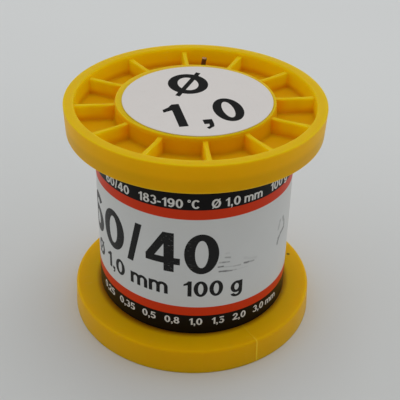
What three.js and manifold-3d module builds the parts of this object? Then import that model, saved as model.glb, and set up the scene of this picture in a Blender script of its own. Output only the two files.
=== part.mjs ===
// A small reel of cored solder wire, standing on its lower flange.
// Millimetres. The origin is the centre of the lower rim's underside and +Z runs up the spool's axis.
import * as THREE from "three";
import { mergeVertices } from "three/addons/utils/BufferGeometryUtils.js";
import Module from "manifold-3d";

const wasm = await Module();
wasm.setup();

// ---- Driving dimensions ----

// Spool moulding
const SPOOL_HEIGHT = 47.4;
const FLANGE_RADIUS = 25;
const LOWER_RIM_HEIGHT = 5.4; // along the axis
const UPPER_RIM_HEIGHT = 5.9;
const RIM_WALL = 2.05;
const RIM_DRAFT = 0.25; // how much smaller each rim's radius is at the winding than at the spool's end
const RIM_END_ROUNDING = 0.25; // on the outer edge at the spool's end
const RIM_FACE_ROUNDING = 0.5; // on the outer edge at the winding
const RIM_INNER_CHAMFER = 0.35;
const POCKET_DEPTH = 3.8; // from the spool's end to the disc between the pockets and the winding
const DRUM_RADIUS = 15.35;
const DRUM_WALL = 1.6;
const HUB_SETBACK = 0.2; // of each end of the drum, below the rim
const HUB_CHAMFER = 0.15;
const HUB_PLATE_THICKNESS = 1.6; // closes the top of the hollow drum
const SPINDLE_HOLE_RADIUS = 5;

// Ribs that divide each flange into pockets
const RIB_COUNT = 12;
const RIB_TOP_THICKNESS = 0.9;
const RIB_ROOT_THICKNESS = 1.15;
const RIB_SETBACK = 0.8; // of a rib's top, below the rim

// Wire
const WIRE_DIAMETER = 1;
const WIRE_LOOPS = 24; // turns drawn in the outer layer
const WIRE_SIDES = 6;
const STEPS_PER_LOOP = 24;
const INNER_LAYERS_DEPTH = 2.05; // of the layers under the outer one, from the drum outwards
const LAYER_CLEARANCE = 0.3; // round the outer layer, and between the inner layers and the drum
const WIRE_BEND_RADIUS = 1.1; // where the outer end turns up to leave the winding
const WIRE_BEND_STEPS = 5;
const WIRE_END_ANGLE = 80; // degrees round the axis
const WIRE_END_LEAN = 9; // degrees from upright, in the pocket
const WIRE_END_SETBACK = 0.15; // of the cut end, below the rim
const WIRE_HOLE_RADIUS = 0.95;
const WIRE_HOLE_SIDES = 18;

// Rosin core, drawn where the cut end shows it
const ROSIN_DIAMETER = 0.4;
const ROSIN_LENGTH = 1.5;
const ROSIN_CLEARANCE = 0.03;
const ROSIN_SIDES = 10;

// Printed label round the winding
const LABEL_THICKNESS = 0.2;
const LABEL_TOP_GAP = 2.7; // of bare winding between the label and the upper flange
const LABEL_LAP_ANGLE = 53; // degrees round the axis, at the lap's free edge
const LABEL_LAP_WIDTH = 18; // degrees

// Round sticker on the hub
const STICKER_RADIUS = 14.5;
const STICKER_THICKNESS = 0.15;
const STICKER_OFFSET_X = 0.45;
const STICKER_OFFSET_Y = -0.5;

// Fineness of the round surfaces
const ROUND_SEGMENTS = 72;
const EDGE_STEPS = 3;
const FUSE = 0.4; // how far one feature of the moulding runs into the next

// ---- Sizes that follow ----

const RIM_INNER_RADIUS = FLANGE_RADIUS - RIM_WALL;
const UPPER_WEB_THICKNESS = UPPER_RIM_HEIGHT - POCKET_DEPTH;
const BORE_RADIUS = DRUM_RADIUS - DRUM_WALL;
const WINDING_BOTTOM = LOWER_RIM_HEIGHT;
const WINDING_TOP = SPOOL_HEIGHT - UPPER_RIM_HEIGHT;
const HUB_TOP = SPOOL_HEIGHT - HUB_SETBACK;
const WIRE_RADIUS = WIRE_DIAMETER / 2;
const INNER_LAYERS_RADIUS = DRUM_RADIUS + LAYER_CLEARANCE + INNER_LAYERS_DEPTH;
const OUTER_LAYER_RADIUS = INNER_LAYERS_RADIUS + LAYER_CLEARANCE + WIRE_RADIUS;
const LABEL_INNER_RADIUS = OUTER_LAYER_RADIUS + WIRE_RADIUS + LAYER_CLEARANCE;
const LABEL_RADIUS = LABEL_INNER_RADIUS + LABEL_THICKNESS; // away from the lap
const LABEL_HEIGHT = WINDING_TOP - WINDING_BOTTOM - LABEL_TOP_GAP;

const radians = THREE.MathUtils.degToRad;

// ---- Materials ----

const yellowPlastic = new THREE.MeshStandardMaterial({ color: 0xd8a208, roughness: 0.42, metalness: 0 });
const solderMetal = new THREE.MeshStandardMaterial({ color: 0x9a9a98, roughness: 0.38, metalness: 0.9 });
const rosin = new THREE.MeshStandardMaterial({ color: 0xb87420, roughness: 0.25, metalness: 0 });
const labelPaper = new THREE.MeshStandardMaterial({ color: 0xdcdcd8, roughness: 0.35, metalness: 0 });
const stickerPaper = new THREE.MeshStandardMaterial({ color: 0xe6e2dc, roughness: 0.55, metalness: 0 });

// ---- Helpers ----

// A closed geometry as a solid that can be joined and cut.
function toSolid(geometry) {
  const bare = new THREE.BufferGeometry();
  bare.setAttribute("position", geometry.getAttribute("position"));
  bare.setIndex(geometry.getIndex());
  const merged = mergeVertices(bare, 1e-4);
  return new wasm.Manifold(
    new wasm.Mesh({
      numProp: 3,
      vertProperties: new Float32Array(merged.getAttribute("position").array),
      triVerts: new Uint32Array(merged.getIndex().array),
    }),
  );
}

// A solid as a geometry to draw.
function toGeometry(solid) {
  const mesh = solid.getMesh();
  const geometry = new THREE.BufferGeometry();
  geometry.setAttribute("position", new THREE.BufferAttribute(mesh.vertProperties, mesh.numProp));
  geometry.setIndex(new THREE.BufferAttribute(mesh.triVerts, 1));
  geometry.computeVertexNormals();
  return geometry;
}

// A closed profile of [radius, height] points turned round the Z axis.
function revolve(profile) {
  const points = profile.map(([radius, height]) => new THREE.Vector2(radius, height));
  points.push(points[0].clone());
  return new THREE.LatheGeometry(points, ROUND_SEGMENTS).rotateX(Math.PI / 2);
}

// Profile points along a quarter round, both ends included, from one direction in degrees to another.
function quarterRound(centreRadius, centreHeight, radius, from, to) {
  return Array.from({ length: EDGE_STEPS + 1 }, (_, step) => {
    const angle = radians(from + ((to - from) * step) / EDGE_STEPS);
    return [centreRadius + radius * Math.cos(angle), centreHeight + radius * Math.sin(angle)];
  });
}

// A point at a radius, an angle in radians and a height.
function polar(radius, angle, height) {
  return new THREE.Vector3(radius * Math.cos(angle), radius * Math.sin(angle), height);
}

// A solid tube of a few sides along a list of points, closed by a flat cap at each end.
function tubeAlong(points, radius, sides) {
  const vertices = [];
  const faces = [];
  const side = new THREE.Vector3().copy(points[0]).setZ(0).normalize();
  points.forEach((point, i) => {
    const before = points[Math.max(i - 1, 0)];
    const after = points[Math.min(i + 1, points.length - 1)];
    const along = after.clone().sub(before).normalize();
    side.addScaledVector(along, -side.dot(along)).normalize();
    const across = along.clone().cross(side);
    for (let k = 0; k < sides; k += 1) {
      const turn = (2 * Math.PI * k) / sides;
      const vertex = point.clone();
      vertex.addScaledVector(side, radius * Math.cos(turn));
      vertex.addScaledVector(across, radius * Math.sin(turn));
      vertices.push(vertex.x, vertex.y, vertex.z);
    }
  });
  for (let i = 0; i < points.length - 1; i += 1) {
    for (let k = 0; k < sides; k += 1) {
      const a = i * sides + k;
      const b = i * sides + ((k + 1) % sides);
      faces.push(a, b, b + sides, a, b + sides, a + sides);
    }
  }
  const last = (points.length - 1) * sides;
  for (let k = 1; k < sides - 1; k += 1) {
    faces.push(0, k + 1, k, last, last + k, last + k + 1);
  }
  const geometry = new THREE.BufferGeometry();
  geometry.setAttribute("position", new THREE.Float32BufferAttribute(vertices, 3));
  geometry.setIndex(faces);
  geometry.computeVertexNormals();
  return geometry;
}

// ---- Spool ----

// A flange's outline with its end at height 0, from the hub's edge out round the rim and back in to the drum.
function flangeOutline(rimHeight) {
  const endEdge = FLANGE_RADIUS - RIM_END_ROUNDING;
  const faceEdge = FLANGE_RADIUS - RIM_DRAFT - RIM_FACE_ROUNDING;
  return [
    [DRUM_RADIUS - HUB_CHAMFER, HUB_SETBACK],
    [DRUM_RADIUS, HUB_SETBACK + HUB_CHAMFER],
    [DRUM_RADIUS, POCKET_DEPTH],
    [RIM_INNER_RADIUS, POCKET_DEPTH],
    [RIM_INNER_RADIUS, RIM_INNER_CHAMFER],
    [RIM_INNER_RADIUS + RIM_INNER_CHAMFER, 0],
    ...quarterRound(endEdge, RIM_END_ROUNDING, RIM_END_ROUNDING, -90, 0),
    ...quarterRound(faceEdge, rimHeight - RIM_FACE_ROUNDING, RIM_FACE_ROUNDING, 0, 90),
    [DRUM_RADIUS, rimHeight],
  ];
}

// Both flanges and the drum between them; the drum is hollow, open below and closed by a plate above.
function spoolOutline() {
  const upper = flangeOutline(UPPER_RIM_HEIGHT).map(([radius, height]) => [radius, SPOOL_HEIGHT - height]);
  return [
    [BORE_RADIUS, HUB_SETBACK],
    ...flangeOutline(LOWER_RIM_HEIGHT),
    ...upper.reverse(),
    [SPINDLE_HOLE_RADIUS, HUB_TOP],
    [SPINDLE_HOLE_RADIUS, HUB_TOP - HUB_PLATE_THICKNESS],
    [BORE_RADIUS, HUB_TOP - HUB_PLATE_THICKNESS],
  ];
}

// One tapered rib of the upper flange, along +X, from inside the hub's wall to inside the rim.
function ribSolid() {
  const height = POCKET_DEPTH - RIB_SETBACK;
  const taper = (RIB_ROOT_THICKNESS - RIB_TOP_THICKNESS) / 2 / height;
  const sunkHalf = RIB_ROOT_THICKNESS / 2 + taper * FUSE;
  const section = new THREE.Shape([
    new THREE.Vector2(-sunkHalf, -FUSE),
    new THREE.Vector2(sunkHalf, -FUSE),
    new THREE.Vector2(RIB_TOP_THICKNESS / 2, height),
    new THREE.Vector2(-RIB_TOP_THICKNESS / 2, height),
  ]);
  const start = DRUM_RADIUS - FUSE;
  const depth = RIM_INNER_RADIUS + FUSE - start;
  const rib = new THREE.ExtrudeGeometry(section, { depth, bevelEnabled: false });
  const place = new THREE.Matrix4().makeBasis(
    new THREE.Vector3(0, 1, 0),
    new THREE.Vector3(0, 0, 1),
    new THREE.Vector3(1, 0, 0),
  );
  place.setPosition(start, 0, SPOOL_HEIGHT - POCKET_DEPTH);
  return toSolid(rib.applyMatrix4(place));
}

// The hole in the upper flange that the wire's outer end comes up through.
function wireHoleSolid() {
  const hole = new THREE.CylinderGeometry(
    WIRE_HOLE_RADIUS,
    WIRE_HOLE_RADIUS,
    UPPER_WEB_THICKNESS + 2 * FUSE,
    WIRE_HOLE_SIDES,
  );
  hole.rotateX(Math.PI / 2);
  const centre = polar(OUTER_LAYER_RADIUS, radians(WIRE_END_ANGLE), WINDING_TOP + UPPER_WEB_THICKNESS / 2);
  hole.translate(centre.x, centre.y, centre.z);
  return toSolid(hole);
}

function makeSpoolBody() {
  let body = toSolid(revolve(spoolOutline()));
  const upperRib = ribSolid();
  const lowerRib = upperRib.rotate([180, 0, 0]).translate([0, 0, SPOOL_HEIGHT]);
  for (let i = 0; i < RIB_COUNT; i += 1) {
    const turn = [0, 0, (360 * i) / RIB_COUNT];
    body = body.add(upperRib.rotate(turn)).add(lowerRib.rotate(turn));
  }
  body = body.subtract(wireHoleSolid());
  return toGeometry(body);
}

// ---- Wire ----

// The layers under the outer one, as one plain ring that fills the drum from flange to flange.
function makeInnerLayers() {
  const inside = DRUM_RADIUS + LAYER_CLEARANCE;
  return revolve([
    [inside, WINDING_BOTTOM],
    [INNER_LAYERS_RADIUS, WINDING_BOTTOM],
    [INNER_LAYERS_RADIUS, WINDING_TOP],
    [inside, WINDING_TOP],
  ]);
}

// The wire end's direction in the pocket: upright, leaning on the way that the turns run.
function leanDirection() {
  const onward = polar(1, radians(WIRE_END_ANGLE - 90), 0);
  const lean = radians(WIRE_END_LEAN);
  return onward.multiplyScalar(Math.sin(lean)).setZ(Math.cos(lean));
}

// The cut end's centre: the end leans from the pocket's floor up to just below the rim.
function wireTip() {
  const floor = SPOOL_HEIGHT - POCKET_DEPTH;
  const rise = POCKET_DEPTH - WIRE_END_SETBACK - WIRE_RADIUS * Math.sin(radians(WIRE_END_LEAN));
  const direction = leanDirection();
  const foot = polar(OUTER_LAYER_RADIUS, radians(WIRE_END_ANGLE), floor);
  return foot.addScaledVector(direction, rise / direction.z);
}

// The outer layer's centre line: up the winding in even turns, then up through the flange's hole.
function outerLayerPath() {
  const endAngle = radians(WIRE_END_ANGLE);
  const bendStart = WINDING_TOP - WIRE_BEND_RADIUS;
  const first = WINDING_BOTTOM + LAYER_CLEARANCE + WIRE_RADIUS;
  const bendTurn = WIRE_BEND_RADIUS / OUTER_LAYER_RADIUS;
  const steps = WIRE_LOOPS * STEPS_PER_LOOP;
  const points = [];
  for (let i = 0; i <= steps; i += 1) {
    const angle = endAngle + bendTurn + ((steps - i) * 2 * Math.PI) / STEPS_PER_LOOP;
    points.push(polar(OUTER_LAYER_RADIUS, angle, first + ((bendStart - first) * i) / steps));
  }
  for (let i = 1; i <= WIRE_BEND_STEPS; i += 1) {
    const swing = (Math.PI / 2) * (i / WIRE_BEND_STEPS);
    const angle = endAngle + bendTurn * (1 - Math.sin(swing));
    const height = bendStart + WIRE_BEND_RADIUS * (1 - Math.cos(swing));
    points.push(polar(OUTER_LAYER_RADIUS, angle, height));
  }
  points.push(polar(OUTER_LAYER_RADIUS, endAngle, SPOOL_HEIGHT - POCKET_DEPTH));
  points.push(wireTip().addScaledVector(leanDirection(), -WIRE_DIAMETER));
  points.push(wireTip());
  return points;
}

// The least distance between the surfaces of two turns, over all points half a turn or more apart.
function leastGap(points) {
  let least = Infinity;
  for (let i = 0; i < points.length; i += 1) {
    for (let j = i + STEPS_PER_LOOP / 2; j < points.length; j += 1) {
      least = Math.min(least, points[i].distanceTo(points[j]) - WIRE_DIAMETER);
    }
  }
  return least;
}

// A short rod down the middle of the wire's cut end.
function coreRod(radius, depth, overshoot) {
  const tip = wireTip();
  const direction = leanDirection();
  const foot = tip.clone().addScaledVector(direction, -depth);
  const head = tip.clone().addScaledVector(direction, overshoot);
  return tubeAlong([foot, head], radius, ROSIN_SIDES);
}

function makeOuterLayer() {
  const path = outerLayerPath();
  console.log("outer layer: least gap between turns " + leastGap(path).toFixed(3) + " mm");
  const wire = toSolid(tubeAlong(path, WIRE_RADIUS, WIRE_SIDES));
  const bore = toSolid(coreRod(ROSIN_DIAMETER / 2 + ROSIN_CLEARANCE, ROSIN_LENGTH, WIRE_RADIUS));
  return toGeometry(wire.subtract(bore));
}

function makeRosinCore() {
  return coreRod(ROSIN_DIAMETER / 2, ROSIN_LENGTH - ROSIN_CLEARANCE, 0);
}

// ---- Paper ----

// Points along an arc about the axis, both ends included, in steps of about one round segment.
function arcPoints(radius, from, to) {
  const count = Math.max(1, Math.round((Math.abs(to - from) * ROUND_SEGMENTS) / 360));
  return Array.from({ length: count + 1 }, (_, step) => {
    const angle = radians(from + ((to - from) * step) / count);
    return new THREE.Vector2(radius * Math.cos(angle), radius * Math.sin(angle));
  });
}

// The label's strip, round the winding once and on over its own start by the lap.
function makeLabel() {
  const lapStart = LABEL_LAP_ANGLE - LABEL_LAP_WIDTH;
  const outline = new THREE.Shape([
    ...arcPoints(LABEL_RADIUS, LABEL_LAP_ANGLE, lapStart + 360),
    ...arcPoints(LABEL_RADIUS + LABEL_THICKNESS, lapStart, LABEL_LAP_ANGLE),
  ]);
  const inside = arcPoints(LABEL_INNER_RADIUS, LABEL_LAP_ANGLE, LABEL_LAP_ANGLE - 360);
  inside.pop();
  outline.holes.push(new THREE.Path(inside));
  return new THREE.ExtrudeGeometry(outline, { depth: LABEL_HEIGHT, bevelEnabled: false });
}

function makeSticker() {
  const rim = arcPoints(STICKER_RADIUS, 0, 360);
  rim.pop();
  const disc = new THREE.Shape(rim);
  return new THREE.ExtrudeGeometry(disc, { depth: STICKER_THICKNESS, bevelEnabled: false });
}

// ---- Assembly ----

const reel = new THREE.Group();

function addPiece(name, geometry, material) {
  const mesh = new THREE.Mesh(geometry, material);
  mesh.name = name;
  reel.add(mesh);
  return mesh;
}

addPiece("spool_body", makeSpoolBody(), yellowPlastic);
addPiece("wire_inner_layers", makeInnerLayers(), solderMetal);
addPiece("wire_outer_layer", makeOuterLayer(), solderMetal);
addPiece("rosin_core", makeRosinCore(), rosin);
const label = addPiece("label_wrap", makeLabel(), labelPaper);
label.position.z = WINDING_BOTTOM;
const sticker = addPiece("size_sticker", makeSticker(), stickerPaper);
sticker.position.set(STICKER_OFFSET_X, STICKER_OFFSET_Y, HUB_TOP);

export default reel;
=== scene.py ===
"""A small reel of cored solder wire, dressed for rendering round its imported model.

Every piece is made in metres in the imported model's frame. The origin is the centre of the lower
rim's underside, +Z runs up the spool's axis and one rib of each flange lies along +X.
"""

from __future__ import annotations

import logging
import math
from collections.abc import Callable, Iterator, Sequence
from contextlib import contextmanager
from dataclasses import dataclass, field
from enum import Enum
from functools import cached_property, reduce

import bmesh
import bpy
from bpy.types import Material, Node, NodeTree, Object
from bpy.types import NodeSocket as Socket
from mathutils import Matrix, Vector

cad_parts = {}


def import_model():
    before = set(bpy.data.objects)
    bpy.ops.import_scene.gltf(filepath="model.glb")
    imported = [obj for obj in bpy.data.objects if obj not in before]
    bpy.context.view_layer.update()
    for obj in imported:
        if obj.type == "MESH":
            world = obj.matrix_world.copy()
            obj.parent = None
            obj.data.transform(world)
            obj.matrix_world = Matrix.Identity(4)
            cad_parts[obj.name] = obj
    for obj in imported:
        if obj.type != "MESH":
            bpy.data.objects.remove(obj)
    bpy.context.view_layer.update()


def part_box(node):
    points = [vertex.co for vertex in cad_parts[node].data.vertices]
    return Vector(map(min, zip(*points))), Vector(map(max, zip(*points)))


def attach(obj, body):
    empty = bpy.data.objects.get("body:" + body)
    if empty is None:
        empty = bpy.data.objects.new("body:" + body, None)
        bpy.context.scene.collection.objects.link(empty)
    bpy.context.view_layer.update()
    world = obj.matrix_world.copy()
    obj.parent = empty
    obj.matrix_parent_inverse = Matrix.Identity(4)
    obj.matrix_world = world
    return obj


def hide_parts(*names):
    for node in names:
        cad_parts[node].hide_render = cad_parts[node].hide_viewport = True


LOG = logging.getLogger("solder_reel")

MM = 0.001
BODY = "root"
MERGE_DISTANCE = 1e-7
FULL_TURN = 360.0
SHARP_EDGE = math.radians(60.0)  # an edge this sharp is a corner, not part of a curve
FRONT_ANGLE = -96.7  # degrees round the axis from +X to the side that the camera faces
PRINT_SLANT = Vector((0.02587, -0.00304, 0.0))  # the low print's drop per metre along X and Y
SLANT_LEVELS = (33.0 * MM, 12.0 * MM)  # the print's slant grows from none at the first to all
LABEL_RADIUS = 19.5 * MM
DRUM_RADIUS = 15.35 * MM
WIRE_END_ANGLE = 80.0  # degrees from +X to the hole that the wire's end comes up through

Colour = tuple[float, float, float]
Point = tuple[float, float, float]
Pair = tuple[float, float]


class Element(Enum):
    """What an edit works on."""

    VERTEX = "VERT"
    EDGE = "EDGE"
    FACE = "FACE"


class Join(Enum):
    """How one solid is joined to another."""

    ADD = "UNION"
    CUT = "DIFFERENCE"


class Slot(Enum):
    """The record's material slots."""

    PLASTIC = "yellow_plastic"
    SOLDER = "solder"
    ROSIN = "rosin"
    LABEL = "label_paper"
    STICKER = "sticker_paper"


# --- Modelling moves ---


def deselect_all() -> None:
    """Deselects every object."""
    bpy.ops.object.select_all(action="DESELECT")


def make_active(piece: Object) -> None:
    """Selects one piece alone and makes it active.

    Args:
        piece: the object to work on next.
    """
    deselect_all()
    piece.select_set(True)
    bpy.context.view_layer.objects.active = piece


def settle(piece: Object) -> None:
    """Moves a piece's place, turn and scale into its mesh."""
    make_active(piece)
    bpy.ops.object.transform_apply(location=True, rotation=True, scale=True)


def name_new(name: str) -> Object:
    """Names the object just added and settles it at the origin.

    Args:
        name: the piece's name.

    Returns:
        The new object.
    """
    piece = bpy.context.view_layer.objects.active
    piece.name = piece.data.name = name
    settle(piece)
    return piece


def add_object(name: str, data: bpy.types.ID) -> Object:
    """Puts a new curve, camera or lamp into the scene.

    Args:
        name: the object's name.
        data: what it shows.

    Returns:
        The new object.
    """
    piece = bpy.data.objects.new(name, data)
    bpy.context.scene.collection.objects.link(piece)
    return piece


def copy_of(piece: Object) -> Object:
    """Copies a piece with its mesh.

    Args:
        piece: the object to copy.

    Returns:
        The copy, which is then the active object.
    """
    make_active(piece)
    bpy.ops.object.duplicate(linked=False)
    return bpy.context.view_layer.objects.active


@contextmanager
def editing(piece: Object, element: Element = Element.VERTEX) -> Iterator[None]:
    """Opens a piece in edit mode and closes it again.

    Args:
        piece: the mesh object to edit.
        element: the kind of element that selections act on.
    """
    make_active(piece)
    bpy.ops.object.mode_set(mode="EDIT")
    bpy.ops.mesh.select_mode(type=element.value)
    bpy.ops.mesh.select_all(action="DESELECT")
    yield
    bpy.ops.object.mode_set(mode="OBJECT")


def take_all() -> None:
    """Selects the whole of the mesh in edit mode."""
    bpy.ops.mesh.select_all(action="SELECT")


def pick(piece: Object, element: Element, test: Callable[..., bool]) -> None:
    """Selects the elements of the edited mesh that pass a test, and no others.

    Args:
        piece: the object in edit mode.
        element: the kind of element to test.
        test: says whether an element is wanted.
    """
    bpy.ops.mesh.select_mode(type=element.value)
    bpy.ops.mesh.select_all(action="DESELECT")
    mesh = bmesh.from_edit_mesh(piece.data)
    groups = {Element.VERTEX: mesh.verts, Element.EDGE: mesh.edges, Element.FACE: mesh.faces}
    for item in [item for item in groups[element] if test(item)]:
        item.select_set(True)
    bmesh.update_edit_mesh(piece.data)


def is_sharp(edge: bmesh.types.BMEdge) -> bool:
    """Whether an edge is a corner, not part of a curve."""
    return edge.calc_face_angle(0.0) > SHARP_EDGE


def round_edges(piece: Object, test: Callable[..., bool], width: float, segments: int) -> None:
    """Rounds the edges of the edited mesh that pass a test."""
    pick(piece, Element.EDGE, test)
    bpy.ops.mesh.bevel(offset=width, segments=segments, affect="EDGES")


def seal() -> None:
    """Merges the doubled points of the edited mesh and turns its faces outwards."""
    take_all()
    bpy.ops.mesh.remove_doubles(threshold=MERGE_DISTANCE)
    bpy.ops.mesh.normals_make_consistent(inside=False)


def close_up(piece: Object) -> None:
    """Merges a mesh's doubled points and turns its faces outwards."""
    with editing(piece):
        seal()


def smooth(piece: Object, degrees: float = 32.0) -> None:
    """Shades a piece smoothly except across edges sharper than an angle."""
    make_active(piece)
    bpy.ops.object.shade_smooth_by_angle(angle=math.radians(degrees))


def apply_modifier(piece: Object, kind: str, **values: object) -> None:
    """Adds a modifier to a piece and applies it.

    Args:
        piece: the mesh object.
        kind: the modifier's type.
        values: its settings.
    """
    make_active(piece)
    bpy.ops.object.modifier_add(type=kind)
    modifier = piece.modifiers[-1]
    for key, value in values.items():
        setattr(modifier, key, value)
    bpy.ops.object.modifier_apply(modifier=modifier.name)


def combine(piece: Object, tool: Object, how: Join) -> None:
    """Joins or cuts a piece with another solid, which is used up."""
    apply_modifier(piece, "BOOLEAN", operation=how.value, solver="EXACT", object=tool)
    bpy.data.meshes.remove(tool.data)


def fuse_objects(name: str, pieces: Sequence[Object]) -> Object:
    """Puts several meshes into one object.

    Args:
        name: the name of the result.
        pieces: the objects to put together.

    Returns:
        The one object that is left.
    """
    make_active(pieces[0])
    for piece in pieces[1:]:
        piece.select_set(True)
    bpy.ops.object.join()
    pieces[0].name = pieces[0].data.name = name
    return pieces[0]


def repeat_round(piece: Object, count: int) -> Object:
    """Copies a piece at even turns round the axis and puts the copies together.

    Args:
        piece: the first copy.
        count: how many copies there are in all.

    Returns:
        One object that holds every copy.
    """
    copies = [piece]
    for index in range(1, count):
        copies.append(copy_of(piece))
        turn = 2 * math.pi * index / count
        bpy.ops.transform.rotate(value=turn, orient_axis="Z", center_override=(0.0, 0.0, 0.0))
        settle(copies[-1])
    return fuse_objects(piece.name, copies)


def turned_over(piece: Object, height: float) -> Object:
    """Copies a piece upside down within a height.

    Args:
        piece: the object to copy.
        height: the height that the copy is mirrored in.

    Returns:
        The mirrored copy, facing out.
    """
    copy = copy_of(piece)
    copy.scale.z = -1.0
    copy.location.z = height
    settle(copy)
    close_up(copy)
    return copy


def polar(radius: float, degrees: float, height: float) -> Vector:
    """A point at a distance from the axis, an angle from +X and a height."""
    angle = math.radians(degrees)
    return Vector((radius * math.cos(angle), radius * math.sin(angle), height))


def span(piece: Object) -> list[Vector]:
    """The lowest and the highest corner of a mesh, in its own coordinates."""
    axes = list(zip(*(vertex.co for vertex in piece.data.vertices)))
    return [Vector([end(axis) for axis in axes]) for end in (min, max)]


@dataclass(frozen=True)
class Corner:
    """A corner of a turned outline: its distance from the axis, its height and its rounding."""

    radius: float
    height: float
    rounding: float = 0.0
    steps: int = 4


def flat_outline(name: str, places: Sequence[Point]) -> Object:
    """Draws a closed flat outline and fills it.

    Args:
        name: the piece's name.
        places: the corners in order.

    Returns:
        A mesh with one face.
    """
    deselect_all()
    bpy.ops.mesh.primitive_plane_add(size=MM, location=places[0])
    piece = name_new(name)
    with editing(piece):
        take_all()
        bpy.ops.mesh.merge(type="CENTER")
        for here, there in zip(places, places[1:]):
            move = tuple(Vector(there) - Vector(here))
            bpy.ops.mesh.extrude_vertices_move(TRANSFORM_OT_translate={"value": move})
        pick(piece, Element.VERTEX, lambda vertex: len(vertex.link_edges) == 1)
        bpy.ops.mesh.edge_face_add()
        take_all()
        bpy.ops.mesh.edge_face_add()
    return piece


def round_corners(piece: Object, outline: Sequence[Corner]) -> None:
    """Rounds the corners of a flat outline that is open in edit mode.

    Args:
        piece: the object in edit mode.
        outline: the corners, with the rounding of each.
    """
    for corner in [corner for corner in outline if corner.rounding]:
        place = Vector((corner.radius, 0.0, corner.height))
        pick(piece, Element.VERTEX, lambda vertex: (vertex.co - place).length < MM / 100)
        bpy.ops.mesh.bevel(offset=corner.rounding, segments=corner.steps, affect="VERTICES")


def turned(
    name: str,
    outline: Sequence[Corner],
    sweep: float = FULL_TURN,
    start: float = 0.0,
    steps: int = 240,
) -> Object:
    """Turns a closed outline about the axis, as on a lathe.

    Args:
        name: the piece's name.
        outline: the corners in order.
        sweep: degrees turned through.
        start: degrees from +X to the start of the sweep.
        steps: how many steps the sweep takes.

    Returns:
        A closed solid.
    """
    piece = flat_outline(name, [(corner.radius, 0.0, corner.height) for corner in outline])
    angle = math.radians(sweep)
    with editing(piece):
        round_corners(piece, outline)
        take_all()
        bpy.ops.mesh.delete(type="ONLY_FACE")
        take_all()
        bpy.ops.mesh.spin(steps=steps, angle=angle, center=(0.0, 0.0, 0.0), axis=(0.0, 0.0, 1.0))
        if sweep < FULL_TURN:
            take_all()
            bpy.ops.mesh.fill_holes(sides=0)
    close_up(piece)
    piece.data.transform(Matrix.Rotation(math.radians(start) + spin_error(piece, sweep), 4, "Z"))
    return piece


def spin_error(piece: Object, sweep: float) -> float:
    """The turn that brings a part-swept piece to start at +X, whichever way it was spun.

    Args:
        piece: the swept object.
        sweep: degrees that it was swept through.

    Returns:
        An angle in radians.
    """
    if sweep >= FULL_TURN:
        return 0.0
    middle = sum((vertex.co for vertex in piece.data.vertices), Vector())
    return math.radians(sweep / 2) - math.atan2(middle.y, middle.x)


def wire_along(name: str, points: Sequence[Vector], diameter: float, roundness: int) -> Object:
    """Draws a wire along a line of points.

    Args:
        name: the piece's name.
        points: the centre line.
        diameter: the wire's diameter.
        roundness: the curve's bevel resolution.

    Returns:
        A closed mesh tube.
    """
    curve = bpy.data.curves.new(name, "CURVE")
    curve.dimensions = "3D"
    curve.bevel_depth = diameter / 2
    curve.bevel_resolution = roundness
    curve.use_fill_caps = True
    spline = curve.splines.new("POLY")
    spline.points.add(len(points) - 1)
    for slot, point in zip(spline.points, points):
        slot.co = (*point, 1.0)
    piece = add_object(name, curve)
    make_active(piece)
    bpy.ops.object.convert(target="MESH")
    close_up(piece)
    return piece


def finish_piece(piece: Object, material: Material, slot: Slot, *nodes: str) -> Object:
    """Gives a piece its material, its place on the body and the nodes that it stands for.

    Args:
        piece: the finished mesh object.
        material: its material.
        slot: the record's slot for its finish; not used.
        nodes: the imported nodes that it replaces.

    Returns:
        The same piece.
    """
    piece.data.materials.clear()
    piece.data.materials.append(material)
    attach(piece, BODY)
    if nodes:
        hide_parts(*nodes)
    LOG.info("%s: %d points", piece.name, len(piece.data.vertices))
    return piece


# --- Shader graphs ---


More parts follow.
